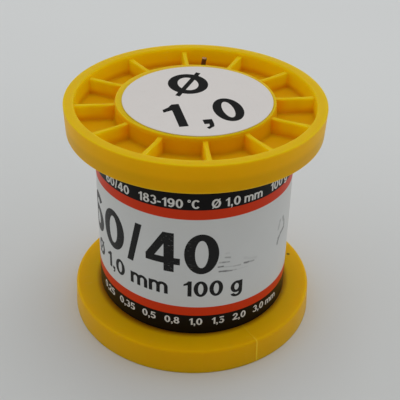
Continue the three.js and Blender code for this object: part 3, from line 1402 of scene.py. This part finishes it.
    def seam(self, turn: float) -> Object:
        """The raised line that the mould's parting plane leaves on the lower flange.

        Args:
            turn: degrees from +X to the line.

        Returns:
            The line as a thin solid that runs into the flange.
        """
        rise, deep = self.seam_rise, self.seam_root
        foot, face = self.rim_end_rounding, self.lower_rim_height
        face_edge = self.flange_radius - self.rim_draft + rise
        outline = [
            Corner(self.drum_radius + MM, face - deep),
            Corner(self.drum_radius + MM, face + rise / 2),
            Corner(face_edge, face + rise / 2, self.rim_face_rounding, 6),
            Corner(self.flange_radius + rise, foot),
            Corner(self.flange_radius - deep, foot + deep),
            Corner(self.flange_radius - 2 * deep, face - deep),
        ]
        start = turn - self.seam_sweep / 2
        return turned("seam", outline, sweep=self.seam_sweep, start=start, steps=1)

    def wire_hole(self) -> Object:
        """The hole in the upper flange that the wire's end comes up through.

        Returns:
            The solid to cut away.
        """
        web = self.pocket_floor - self.upper_face
        place = polar(*self.wire_hole_place, self.pocket_floor - web / 2)
        radius = self.wire_hole_radius
        deselect_all()
        bpy.ops.mesh.primitive_cylinder_add(
            vertices=40, radius=radius, depth=2 * web, location=place
        )
        return name_new("wire_hole")

    def build(self, material: Material) -> Object:
        """Makes the spool.

        Args:
            material: the plastic.

        Returns:
            The finished piece.
        """
        spool = turned("spool_moulding", self.outline())
        pockets = repeat_round(self.pocket(), self.rib_count)
        pockets = fuse_objects("pockets", [pockets, turned_over(pockets, self.height)])
        combine(spool, pockets, Join.CUT)
        with editing(spool):
            round_edges(spool, self.is_rib_edge, self.rib_edge_rounding, 2)
        combine(spool, self.wire_hole(), Join.CUT)
        for turn in (self.seam_angle, self.seam_angle + FULL_TURN / 2):
            combine(spool, self.seam(turn), Join.ADD)
        close_up(spool)
        smooth(spool)
        return finish_piece(spool, material, Slot.PLASTIC, "spool_body")


# --- Wire ---


@dataclass
class Winding:
    """The solder wire, in layers of close turns, with its outer end up through the flange."""

    bottom: float
    top: float
    pocket_floor: float
    rim_top: float
    diameter: float = 1.0 * MM
    drum_radius: float = DRUM_RADIUS
    layers: int = 4
    layer_shift: float = 140.0
    pitch: float = 1.018 * MM
    unevenness: float = 0.006 * MM
    uneven_rates: Pair = (1.7, 2 * math.pi * 0.93)
    uneven_start: float = 0.4
    steps: int = 48
    inner_steps: int = 36
    end_angle: float = WIRE_END_ANGLE
    end_radius: float = 18.55 * MM
    end_lean: float = 9.0
    end_setback: float = 0.15 * MM
    bend_radius: float = 1.3 * MM
    bend_steps: int = 8
    move_in: float = 12.0  # one over the share of a turn in which the wire nears its hole
    flux_diameter: float = 0.4 * MM
    rosin_gap: float = 0.01 * MM
    rosin_reach: Pair = (0.95 * MM, 0.04 * MM)
    rosin_rounding: float = 0.06 * MM

    @property
    def low(self) -> float:
        """The centre line's height in the lowest turn."""
        return self.bottom + self.diameter / 2

    def layer_radius(self, layer: int) -> float:
        """The centre line's radius in a layer, counted from 0 at the drum."""
        return self.drum_radius + self.diameter * (layer + 0.5)

    def wobble(self, turns: float) -> float:
        """The small unevenness of hand-guided turns, as a height."""
        slow, quick = (turns * rate for rate in self.uneven_rates)
        return self.unevenness * (math.sin(slow + self.uneven_start) + math.sin(quick))

    def layer_path(self, layer: int) -> list[Vector]:
        """The centre line of an inner layer, wound the other way from the next.

        Args:
            layer: the layer, counted from the drum.

        Returns:
            The points from the lower flange to the upper.
        """
        climb = self.top - self.diameter / 2 - self.low
        count = int(climb / self.pitch * self.inner_steps)
        way = 1.0 if layer % 2 == 0 else -1.0
        points = []
        for index in range(count + 1):
            angle = way * (index / self.inner_steps) * FULL_TURN + self.layer_shift * layer
            height = self.low + climb * index / count
            points.append(polar(self.layer_radius(layer), angle, height))
        return points

    def lean(self) -> Vector:
        """The way that the wire's end leans in the pocket.

        Returns:
            Its direction, one unit long.
        """
        lean = math.radians(self.end_lean)
        onward = polar(1.0, self.end_angle - 90.0, 0.0) * math.sin(lean)
        return onward + Vector((0.0, 0.0, math.cos(lean)))

    def tip(self) -> Vector:
        """The middle of the wire's cut end, a setback under the rim's plane.

        Returns:
            The place.
        """
        foot = polar(self.end_radius, self.end_angle, self.pocket_floor)
        edge = self.diameter / 2 * math.sin(math.radians(self.end_lean))
        rise = self.rim_top - self.end_setback - edge - self.pocket_floor
        return foot + self.lean() * (rise / self.lean().z)

    def below_tip(self, depth: float) -> Vector:
        """A point on the wire's axis at a depth under its cut end."""
        return self.tip() - self.lean() * depth

    def outer_path(self) -> list[Vector]:
        """The outer layer's centre line, up the winding and on up through the flange.

        Returns:
            The points, from the lower flange to the cut end.
        """
        radius = self.layer_radius(self.layers - 1)
        high = self.top - self.bend_radius
        bend_turn = math.degrees(self.bend_radius / radius)
        turns = (high - self.low) / self.pitch
        count = int(turns * self.steps)
        points = []
        for index in range(count + 1):
            left = turns * (1 - index / count)
            angle = self.end_angle + bend_turn + left * FULL_TURN
            height = high - left * self.pitch + self.wobble(left) * min(1.0, left)
            inward = (radius - self.end_radius) * max(0.0, 1 - left * self.move_in)
            points.append(polar(radius - inward, angle, height))
        for index in range(1, self.bend_steps + 1):
            swing = math.pi / 2 * index / self.bend_steps
            angle = self.end_angle + bend_turn * (1 - math.sin(swing))
            height = high + self.bend_radius * (1 - math.cos(swing))
            points.append(polar(self.end_radius, angle, height))
        points.append(polar(self.end_radius, self.end_angle, self.pocket_floor))
        return [*points, self.below_tip(self.diameter), self.tip()]

    def build_outer(self, material: Material) -> Object:
        """Makes the outer layer and its end.

        Args:
            material: the solder.

        Returns:
            The finished piece.
        """
        wire = wire_along("outer_winding", self.outer_path(), self.diameter, 4)
        ends = [self.below_tip(MM), self.below_tip(-MM)]
        combine(wire, wire_along("flux_bore", ends, self.flux_diameter, 4), Join.CUT)
        smooth(wire, 40.0)
        return finish_piece(wire, material, Slot.SOLDER, "wire_outer_layer")

    def build_inner(self, material: Material) -> Object:
        """Makes the layers under the outer one.

        Args:
            material: the solder.

        Returns:
            The finished piece.
        """
        layers = [
            wire_along(f"layer_{layer}", self.layer_path(layer), self.diameter, 2)
            for layer in range(self.layers - 1)
        ]
        inner = fuse_objects("inner_winding", layers)
        smooth(inner, 60.0)
        return finish_piece(inner, material, Slot.SOLDER, "wire_inner_layers")

    def build_rosin(self, material: Material) -> Object:
        """Makes the rosin that shows in the wire's cut end.

        Args:
            material: the rosin.

        Returns:
            The finished piece.
        """
        ends = [self.below_tip(depth) for depth in self.rosin_reach]
        rod = wire_along("rosin_rod", ends, self.flux_diameter - self.rosin_gap, 4)
        with editing(rod, Element.EDGE):
            round_edges(rod, is_sharp, self.rosin_rounding, 3)
        smooth(rod, 40.0)
        return finish_piece(rod, material, Slot.ROSIN, "rosin_core")


# --- Label ---


@dataclass(frozen=True)
class PrintLine:
    """A line of plain figures printed round the label."""

    text: str
    height: float
    baseline: float
    right_end: float


@dataclass
class Label:
    """The printed strip round the winding, lapped over its own start."""

    bottom: float
    top: float
    radius: float = LABEL_RADIUS
    thickness: float = 0.12 * MM
    lap_edge: float = 53.0
    lap_width: float = 18.0
    lap_gap: float = 0.01 * MM
    ramp: float = 5.0
    foot_rise: float = 0.032
    ripple: float = 0.012 * MM
    turn_ripple: float = 2 * math.pi * 0.98 / MM  # radians up the label, from the wire under it
    slow_ripple: Pair = (5.0, 0.23 / MM)  # waves round the label, and radians up it
    grid: tuple[int, int] = (320, 72)
    slice_width: float = 0.45 * MM

    @property
    def start(self) -> float:
        """Degrees from +X to the strip's start, under the lap."""
        return self.lap_edge - self.lap_width

    def surface(self, degrees: float, height: float) -> float:
        """The radius of the label's outer face.

        Args:
            degrees: the angle along the strip, from its start at the lap.
            height: the height above the lower rim's underside.

        Returns:
            The radius in metres.
        """
        climb = min(1.0, max(0.0, (degrees - (FULL_TURN - self.ramp)) / self.ramp))
        lift = (self.thickness + self.lap_gap) * climb * climb * (3 - 2 * climb)
        angle = math.radians(degrees)
        turns = math.sin(height * self.turn_ripple + angle)
        slow = math.sin(angle * self.slow_ripple[0] + height * self.slow_ripple[1])
        return self.radius + lift + self.ripple * (turns / 2 + slow)

    def side(self, length: float) -> Vector:
        """The place on the label's circle at a length along the strip."""
        return polar(self.radius, self.start + math.degrees(length / self.radius), 0.0)

    def wrap(self, piece: Object) -> None:
        """Rolls a flat piece round the winding.

        Args:
            piece: a mesh that lies flat, with X along the strip from its start, Y in to the
                axis from the strip's outer face, and Z up.
        """
        for vertex in piece.data.vertices:
            degrees = math.degrees(vertex.co.x / self.radius)
            radius = self.surface(degrees, vertex.co.z) - vertex.co.y
            vertex.co = polar(radius, self.start + degrees, vertex.co.z)

    def slant(self, piece: Object) -> None:
        """Shifts a flat line of print up and down, as it goes round, to the label's slant.

        Args:
            piece: a mesh that lies flat as for wrap.
        """
        none, full = SLANT_LEVELS
        for vertex in piece.data.vertices:
            share = min(1.0, max(0.0, (vertex.co.z - none) / (full - none)))
            vertex.co.z -= share * PRINT_SLANT.dot(self.side(vertex.co.x))

    def along(self, degrees: float) -> float:
        """The length along the strip at an angle from +X."""
        return math.radians((degrees - self.start) % FULL_TURN) * self.radius

    def build_strip(self, material: Material) -> Object:
        """Makes the strip.

        Args:
            material: the printed paper.

        Returns:
            The finished piece.
        """
        across, up = self.grid
        upright = (math.pi / 2, 0.0, 0.0)
        deselect_all()
        bpy.ops.mesh.primitive_grid_add(x_subdivisions=across, y_subdivisions=up, rotation=upright)
        strip = name_new("printed_label")
        self.fit(strip)
        apply_modifier(strip, "SOLIDIFY", thickness=self.thickness, offset=-1.0)
        self.wrap(strip)
        close_up(strip)
        smooth(strip, 50.0)
        return finish_piece(strip, material, Slot.LABEL, "label_wrap")

    def fit(self, strip: Object) -> None:
        """Brings a new flat grid to the strip's size and place, its foot raised towards -X.

        Args:
            strip: the grid, upright in the XZ plane.
        """
        length = math.radians(FULL_TURN + self.lap_width) * self.radius
        low, high = span(strip)
        for vertex in strip.data.vertices:
            vertex.co.x = (vertex.co.x - low.x) / (high.x - low.x) * length
            lift = self.foot_rise * max(0.0, -self.side(vertex.co.x).x)
            share = (vertex.co.z - low.z) / (high.z - low.z)
            vertex.co.z = self.bottom + lift + share * (self.top - self.bottom - lift)

    def build_print(
        self, name: str, lines: Sequence[PrintLine], typeface: Typeface, material: Material
    ) -> Object:
        """Prints lines of figures on the label.

        Args:
            name: the piece's name.
            lines: the lines.
            typeface: the figures.
            material: the ink.

        Returns:
            The finished piece.
        """
        pieces = []
        for line in lines:
            figures = typeface.line(line.text, line.height)
            right = self.along(line.right_end) - span(figures)[1].x
            shift = Matrix.Translation((right, typeface.thickness / 2, line.baseline))
            figures.data.transform(shift @ Matrix.Rotation(math.pi / 2, 4, "X"))
            slice_upright(figures, self.slice_width)
            self.slant(figures)
            self.wrap(figures)
            pieces.append(figures)
        printed = fuse_objects(name, pieces)
        close_up(printed)
        return finish_piece(printed, material, Slot.LABEL)


def slice_upright(piece: Object, width: float) -> None:
    """Slices a flat mesh into narrow upright strips, so that it can be rolled up.

    Args:
        piece: a mesh that stands in the XZ plane.
        width: the widest that a strip may be.
    """
    low, high = span(piece)
    count = int((high.x - low.x) / width)
    with editing(piece):
        for index in range(1, count + 1):
            cut = (low.x + index * (high.x - low.x) / (count + 1), 0.0, 0.0)
            take_all()
            bpy.ops.mesh.bisect(plane_co=cut, plane_no=(1.0, 0.0, 0.0))


# --- Figures ---


BOW_STEPS = 48  # in a whole ring
LEAST_BOW_STEPS = 8


@dataclass(frozen=True)
class Bow:
    """A ring of a figure, or part of one, in shares of the figure's height."""

    middle: Pair
    outer: Pair
    inner: Pair
    start: float = 0.0
    sweep: float = FULL_TURN

    def build(self, thickness: float) -> Object:
        """Makes the stroke, for a figure one millimetre high.

        Args:
            thickness: the thickness of the solid.

        Returns:
            A flat closed solid.
        """
        sides = ((MM, 0.0), (2 * MM, 0.0), (2 * MM, thickness), (MM, thickness))
        steps = max(LEAST_BOW_STEPS, round(self.sweep / FULL_TURN * BOW_STEPS))
        section = [Corner(*side) for side in sides]
        piece = turned("bow", section, sweep=self.sweep, start=self.start, steps=steps)
        for vertex in piece.data.vertices:
            share = vertex.co.xy.length / MM - 1.0
            angle = math.atan2(vertex.co.y, vertex.co.x)
            across, up = (
                inner + (outer - inner) * share for inner, outer in zip(self.inner, self.outer)
            )
            vertex.co.x = (self.middle[0] + across * math.cos(angle)) * MM
            vertex.co.y = (self.middle[1] + up * math.sin(angle)) * MM
        return piece


@dataclass(frozen=True)
class Bar:
    """A straight-sided stroke of a figure, in shares of the figure's height."""

    corners: tuple[Pair, ...]

    def build(self, thickness: float) -> Object:
        """Makes the stroke, for a figure one millimetre high.

        Args:
            thickness: the thickness of the solid.

        Returns:
            A flat closed solid.
        """
        piece = flat_outline("bar", [(x * MM, y * MM, 0.0) for x, y in self.corners])
        move = {"value": (0.0, 0.0, thickness)}
        with editing(piece, Element.FACE):
            take_all()
            bpy.ops.mesh.extrude_region_move(TRANSFORM_OT_translate=move)
        close_up(piece)
        return piece


def box_bar(left: float, low: float, right: float, high: float) -> Bar:
    """A square-cornered stroke between two corners."""
    return Bar(((left, low), (right, low), (right, high), (left, high)))


@dataclass(frozen=True)
class Figure:
    """A figure's width and strokes, in shares of its height."""

    width: float
    strokes: tuple[Bow | Bar, ...]


def figure(width: float, *strokes: Bow | Bar) -> Figure:
    """A figure of a width, drawn with strokes."""
    return Figure(width, strokes)


FIGURES = {
    "0": figure(0.73, Bow((0.365, 0.5), (0.365, 0.51), (0.14, 0.35))),
    "1": figure(
        0.50,
        Bar(((0.27, 0.0), (0.48, 0.0), (0.48, 1.0), (0.31, 1.0), (0.24, 0.85), (0.27, 0.7))),
        Bar(((0.06, 0.67), (0.27, 0.74), (0.31, 1.0), (0.21, 0.88), (0.06, 0.79))),
    ),
    "2": figure(
        0.68,
        Bow((0.33, 0.69), (0.34, 0.32), (0.13, 0.165), -25.0, 205.0),
        Bar(((0.448, 0.62), (0.02, 0.12), (0.29, 0.12), (0.638, 0.555))),
        box_bar(0.0, 0.0, 0.68, 0.165),
    ),
    "3": figure(
        0.68,
        Bow((0.33, 0.72), (0.31, 0.29), (0.11, 0.15), -90.0, 250.0),
        Bow((0.33, 0.30), (0.35, 0.31), (0.13, 0.16), -160.0, 250.0),
    ),
    "4": figure(
        0.76,
        box_bar(0.41, 0.0, 0.63, 1.0),
        box_bar(0.0, 0.20, 0.76, 0.37),
        Bar(((0.0, 0.36), (0.39, 1.0), (0.63, 1.0), (0.41, 0.70), (0.20, 0.36))),
    ),
    "5": figure(
        0.69,
        Bow((0.33, 0.325), (0.36, 0.335), (0.13, 0.18), -155.0, 275.0),
        box_bar(0.10, 0.84, 0.64, 1.0),
        Bar(((0.03, 0.44), (0.22, 0.53), (0.29, 1.0), (0.10, 1.0))),
    ),
    "6": figure(
        0.73,
        Bow((0.365, 0.335), (0.365, 0.345), (0.13, 0.185)),
        Bow((0.40, 0.50), (0.40, 0.51), (0.165, 0.35), 48.0, 160.0),
    ),
    "8": figure(
        0.70,
        Bow((0.35, 0.745), (0.30, 0.265), (0.10, 0.13)),
        Bow((0.35, 0.29), (0.35, 0.30), (0.13, 0.155)),
    ),
    "9": figure(
        0.73,
        Bow((0.365, 0.665), (0.365, 0.345), (0.13, 0.185)),
        Bow((0.33, 0.50), (0.40, 0.51), (0.165, 0.35), 228.0, 160.0),
    ),
    "/": figure(0.40, Bar(((0.0, -0.02), (0.16, -0.02), (0.40, 1.02), (0.24, 1.02)))),
    ",": figure(
        0.22,
        box_bar(0.0, 0.0, 0.20, 0.19),
        Bar(
            ((0.10, 0.0), (0.20, 0.0), (0.18, -0.12), (0.05, -0.22), (0.01, -0.15), (0.09, -0.09))
        ),
    ),
    "-": figure(0.36, box_bar(0.0, 0.30, 0.36, 0.47)),
    "°": figure(0.32, Bow((0.16, 0.85), (0.16, 0.16), (0.06, 0.06))),
    "C": figure(0.84, Bow((0.43, 0.5), (0.43, 0.51), (0.19, 0.34), 40.0, 280.0)),
    "Ø": figure(
        0.92,
        Bow((0.46, 0.5), (0.46, 0.515), (0.235, 0.33)),
        Bar(((0.05, -0.02), (0.14, -0.09), (0.87, 0.99), (0.78, 1.06))),
    ),
    "m": figure(
        1.06,
        box_bar(0.0, 0.0, 0.20, 0.73),
        box_bar(0.43, 0.0, 0.63, 0.46),
        box_bar(0.86, 0.0, 1.06, 0.46),
        Bow((0.315, 0.45), (0.315, 0.295), (0.115, 0.13), 0.0, 180.0),
        Bow((0.745, 0.45), (0.315, 0.295), (0.115, 0.13), 0.0, 180.0),
    ),
    "g": figure(
        0.68,
        Bow((0.34, 0.365), (0.34, 0.38), (0.13, 0.22)),
        box_bar(0.48, -0.02, 0.68, 0.73),
        Bow((0.34, 0.0), (0.34, 0.29), (0.14, 0.14), 195.0, 165.0),
    ),
}


@dataclass
class Typeface:
    """Heavy plain figures, each modelled once and copied into the lines that use it."""

    thickness: float
    gap: float = 0.085
    word_gap: float = 0.34
    masters: dict[str, Object] = field(default_factory=dict)

    def master(self, mark: str) -> Object:
        """The model of one figure, a millimetre high.

        Args:
            mark: the figure.

        Returns:
            Its solid, which later lines copy.
        """
        if mark not in self.masters:
            first, *others = (stroke.build(self.thickness) for stroke in FIGURES[mark].strokes)
            for stroke in others:
                combine(first, stroke, Join.ADD)
            self.masters[mark] = first
        return self.masters[mark]

    def line(self, text: str, height: float, squeeze: float = 1.0) -> Object:
        """Sets a line of figures.

        Args:
            text: the figures, with spaces between groups.
            height: their height.
            squeeze: their width as a share of the usual one.

        Returns:
            A flat solid in the XY plane, from the origin to the right.
        """
        scale = height / MM
        pen = 0.0
        copies = []
        for mark in text:
            if mark == " ":
                pen += self.word_gap
                continue
            copy = copy_of(self.master(mark))
            copy.scale = (scale * squeeze, scale, 1.0)
            copy.location = (pen * height * squeeze, 0.0, 0.0)
            settle(copy)
            copies.append(copy)
            pen += FIGURES[mark].width + self.gap
        return fuse_objects("figures", copies)

    def put_away(self) -> None:
        """Removes the models that the lines were copied from."""
        for master in self.masters.values():
            bpy.data.meshes.remove(master.data)


# --- Sticker ---


@dataclass(frozen=True)
class PlacedMark:
    """A figure set at a place on the sticker."""

    text: str
    height: float
    place: Pair
    squeeze: float


@dataclass
class Sticker:
    """The round size sticker on the hub, set a little off its middle."""

    seat: float
    radius: float
    middle: Pair
    trim: float = 0.19 * MM
    slip: Pair = (-0.14 * MM, 0.12 * MM)
    thickness: float = 0.11 * MM
    gap: float = 0.004 * MM
    edge_width: float = 0.12 * MM
    edge_rounding: float = 0.03 * MM
    turn: float = 6.8
    marks: tuple[PlacedMark, ...] = (
        PlacedMark("Ø", 8.5 * MM, (-4.06 * MM, 1.91 * MM), 1.0),
        PlacedMark("1", 8.75 * MM, (-7.65 * MM, -10.6 * MM), 0.93),
        PlacedMark(",", 8.75 * MM, (-0.8 * MM, -10.45 * MM), 1.0),
        PlacedMark("0", 8.95 * MM, (2.03 * MM, -10.25 * MM), 0.86),
    )

    def build_disc(self, material: Material) -> Object:
        """Makes the sticker.

        Args:
            material: the paper.

        Returns:
            The finished piece.
        """
        top = self.seat + self.gap + self.thickness
        middle = tuple(place + slip for place, slip in zip(self.middle, self.slip))
        deselect_all()
        bpy.ops.mesh.primitive_cylinder_add(
            vertices=180,
            radius=self.radius - self.trim,
            depth=self.thickness,
            location=(*middle, top - self.thickness / 2),
        )
        disc = name_new("round_sticker")
        with editing(disc, Element.FACE):
            pick(disc, Element.FACE, lambda face: abs(face.normal.z) > 0.9)
            bpy.ops.mesh.inset(thickness=self.edge_width)
            round_edges(disc, lambda edge: self.is_rim(edge, top), self.edge_rounding, 2)
        smooth(disc, 40.0)
        return finish_piece(disc, material, Slot.STICKER, "size_sticker")

    def is_rim(self, edge: bmesh.types.BMEdge, top: float) -> bool:
        """Whether an edge is the sticker's upper outer one."""
        high = all(abs(vertex.co.z - top) < MM / 1000 for vertex in edge.verts)
        return high and is_sharp(edge)

    def build_mark(self, typeface: Typeface, material: Material) -> Object:
        """Prints the wire size on the sticker.

        Args:
            typeface: the figures.
            material: the ink.

        Returns:
            The finished piece.
        """
        pieces = []
        for mark in self.marks:
            pieces.append(typeface.line(mark.text, mark.height, mark.squeeze))
            pieces[-1].data.transform(Matrix.Translation((*mark.place, 0.0)))
        printed = fuse_objects("sticker_size_mark", pieces)
        turn = Matrix.Rotation(math.radians(self.turn), 4, "Z")
        sunk = self.seat + self.thickness + self.gap - typeface.thickness / 2
        printed.data.transform(Matrix.Translation((0.0, 0.0, sunk)) @ turn)
        close_up(printed)
        return finish_piece(printed, material, Slot.STICKER)


# --- Studio ---


@dataclass(frozen=True)
class Camera:
    """The camera, placed round the reel and turned a little off its middle."""

    azimuth: float = FRONT_ANGLE
    elevation: float = 33.62
    distance: float = 176.64 * MM
    lens: float = 77.79
    sensor: float = 36.0
    near_clip: float = 10 * MM
    pan: float = -0.410
    tilt: float = 0.120
    roll: float = 1.137

    def build(self, aim_height: float) -> Object:
        """Makes the camera and takes it for the scene.

        Args:
            aim_height: the height on the axis that it is placed round.

        Returns:
            The camera object.
        """
        data = bpy.data.cameras.new("photo_camera")
        data.lens = self.lens
        data.sensor_width = self.sensor
        data.clip_start = self.near_clip
        elevation = math.radians(self.elevation)
        level = self.distance * math.cos(elevation)
        place = polar(level, self.azimuth, aim_height + self.distance * math.sin(elevation))
        looking = Matrix.Rotation(math.radians(self.azimuth + 90.0), 3, "Z")
        looking = looking @ Matrix.Rotation(math.radians(90.0) - elevation, 3, "X")
        for degrees, axis in ((self.pan, "Y"), (self.tilt, "X"), (self.roll, "Z")):
            looking = looking @ Matrix.Rotation(math.radians(degrees), 3, axis)
        camera = add_object("photo_camera", data)
        camera.matrix_world = Matrix.Translation(place) @ looking.to_4x4()
        bpy.context.scene.camera = camera
        return camera


@dataclass(frozen=True)
class Studio:
    """The plain pale floor and the soft light over it."""

    floor_size: float = 3.0
    floor_colour: Colour = (0.805, 0.825, 0.825)
    # painted shade: the floor is painted darker towards the camera
    near_floor_shade: Colour = (0.655, 0.675, 0.67)
    near_floor: Pair = (-0.10, 0.16)
    floor_fade_angle: float = 70.0
    sky_colour: Colour = (1.0, 1.0, 1.0)
    sky_strength: float = 0.45
    front_loss: float = 0.35
    front_reach: Pair = (-0.3, 0.9)
    side_gain: float = 1.0
    lamp_place: Point = (0.06, 0.16, 0.90)
    lamp_aim: Point = (0.0, 0.0, 0.02)
    lamp_size: float = 0.55
    lamp_power: float = 1.6

    def build_floor(self, groups: SharedGroups) -> Object:
        """Makes the floor, with painted shade that darkens it towards the camera.

        Args:
            groups: the shared shader groups.

        Returns:
            The floor object.
        """
        deselect_all()
        bpy.ops.mesh.primitive_plane_add(size=self.floor_size, location=(0.0, 0.0, 0.0))
        floor = name_new("floor")
        surface = Surface("pale_floor", groups)
        away = polar(1.0, self.floor_fade_angle, 0.0)
        far = surface.ramp(surface.vector("DOT_PRODUCT", surface.place, away), *self.near_floor)
        drift = surface.noise(surface.place, 0.09, detail=1.0)
        drift = surface.times(surface.math("SUBTRACT", drift, 0.5), 0.2)
        far = surface.math("ADD", far, drift)
        colour = surface.mix(far, self.near_floor_shade, self.floor_colour)
        surface.fill(surface.shader, Base_Color=colour, Roughness=0.7, Specular_IOR_Level=0.2)
        floor.data.materials.append(surface.material)
        return floor

    def build_lamp(self) -> Object:
        """Makes the square soft lamp over the reel, aimed at it.

        Returns:
            The lamp object.
        """
        data = bpy.data.lights.new("ceiling_lamp", "AREA")
        data.size = self.lamp_size
        data.energy = self.lamp_power
        lamp = add_object("ceiling_lamp", data)
        lamp.location = self.lamp_place
        aim = Vector(self.lamp_aim) - Vector(self.lamp_place)
        lamp.rotation_euler = aim.to_track_quat("-Z", "Y").to_euler()
        return lamp

    def build_sky(self) -> bpy.types.World:
        """Makes the sky, which is darker behind the camera and brighter at the sides.

        Returns:
            The world.
        """
        world = bpy.data.worlds.new("studio_sky")
        world.use_nodes = True
        graph = Graph(world.node_tree)
        way = graph.add("TexCoord").outputs["Generated"]
        ahead = graph.vector("DOT_PRODUCT", way, polar(1.0, FRONT_ANGLE, -0.8))
        front = graph.ramp(ahead, *self.front_reach)
        level = graph.math("SUBTRACT", 1.0, graph.times(front, self.front_loss))
        aside = graph.vector("DOT_PRODUCT", way, polar(1.0, FRONT_ANGLE + 90.0, 0.0))
        sides = graph.times(aside, aside)
        level = graph.math("ADD", level, graph.times(sides, self.side_gain))
        strength = graph.times(level, self.sky_strength)
        light = graph.add("Background", Color=self.sky_colour, Strength=strength)
        graph.add("OutputWorld", Surface=light.outputs[0])
        return world

    def build(self, groups: SharedGroups) -> None:
        """Makes the floor, the lamp and the sky.

        Args:
            groups: the shared shader groups.
        """
        self.build_floor(groups)
        self.build_lamp()
        bpy.context.scene.world = self.build_sky()
        bpy.context.scene.view_settings.view_transform = "Standard"


# --- The reel ---


LARGE_PRINT = (
    PrintLine("60/40", 9.0 * MM, 20.4 * MM, -82.1),
    PrintLine("Ø 1,0 mm  100 g", 3.7 * MM, 14.85 * MM, -67.0),
)

BAND_PRINT = (
    PrintLine("60/40   183-190 °C   Ø 1,0 mm   100 g", 1.85 * MM, 35.15 * MM, -33.2),
    PrintLine("0,25   0,35   0,5   0,8   1,0   1,5   2,0   3,0 mm", 1.65 * MM, 7.75 * MM, -36.5),
)


@dataclass
class SolderReel:
    """The whole reel, built from its sub-assemblies in order."""

    groups: SharedGroups
    typeface: Typeface = field(default_factory=lambda: Typeface(thickness=0.024 * MM))
    label_seat: float = 0.02 * MM

    def build(self) -> None:
        """Makes every piece of the reel."""
        low, high = (Vector(corner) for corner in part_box("spool_body"))
        label_high = Vector(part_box("label_wrap")[1])
        spool = SpoolMoulding(flange_radius=(high.x - low.x) / 2, height=high.z)
        plastic = MouldedPlastic(
            top=spool.height,
            pocket_floor=spool.pocket_floor,
            hub_radius=spool.drum_radius,
            rim_inner_radius=spool.rim_inner_radius,
            label_radius=label_high.x,
            seam_angle=spool.seam_angle,
        )
        spool.build(plastic.build(self.groups))
        self.build_wire(spool)
        self.build_label(spool, label_high.z)
        self.build_sticker(spool)
        self.typeface.put_away()

    def build_wire(self, spool: SpoolMoulding) -> None:
        """Makes the winding.

        Args:
            spool: the spool that carries it.
        """
        winding = Winding(
            bottom=spool.lower_rim_height,
            top=spool.upper_face,
            pocket_floor=spool.pocket_floor,
            rim_top=spool.height,
        )
        finish = DrawnSolder(spool.pocket_floor, spool.height - winding.end_setback)
        solder = finish.build(self.groups)
        winding.build_inner(solder)
        winding.build_outer(solder)
        winding.build_rosin(Rosin().build(self.groups))

    def build_label(self, spool: SpoolMoulding, top: float) -> None:
        """Makes the label and its print.

        Args:
            spool: the spool that it rests on.
            top: the height of the label's upper edge.
        """
        label = Label(bottom=spool.lower_rim_height + self.label_seat, top=top)
        black = Ink("black_ink", (0.007, 0.007, 0.007), (0.30, 0.30, 0.29)).build(self.groups)
        white = Ink("reversed_ink", (0.70, 0.70, 0.68), (0.20, 0.20, 0.20)).build(self.groups)
        label.build_strip(PrintedLabel().build(self.groups))
        label.build_print("label_figures", LARGE_PRINT, self.typeface, black)
        label.build_print("label_band_figures", BAND_PRINT, self.typeface, white)

    def build_sticker(self, spool: SpoolMoulding) -> None:
        """Makes the hub's sticker and its mark.

        Args:
            spool: the spool that it sticks to.
        """
        low, high = (Vector(corner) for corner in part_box("size_sticker"))
        middle = (low + high) / 2
        sticker = Sticker(
            seat=spool.height - spool.hub_setback,
            radius=(high.x - low.x) / 2,
            middle=(middle.x, middle.y),
        )
        sticker.build_disc(StickerPaper().build(self.groups))
        ink = Ink("sticker_ink", (0.015, 0.015, 0.015), (0.04, 0.04, 0.04), 0.55, 0.03)
        sticker.build_mark(self.typeface, ink.build(self.groups))


def main() -> None:
    """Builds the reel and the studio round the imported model."""
    logging.basicConfig(level=logging.INFO, format="%(name)s: %(message)s")
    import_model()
    groups = SharedGroups()
    Camera().build(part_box("spool_body")[1][2] / 2)
    Studio().build(groups)
    SolderReel(groups).build()
    deselect_all()


if __name__ == "__main__":
    main()
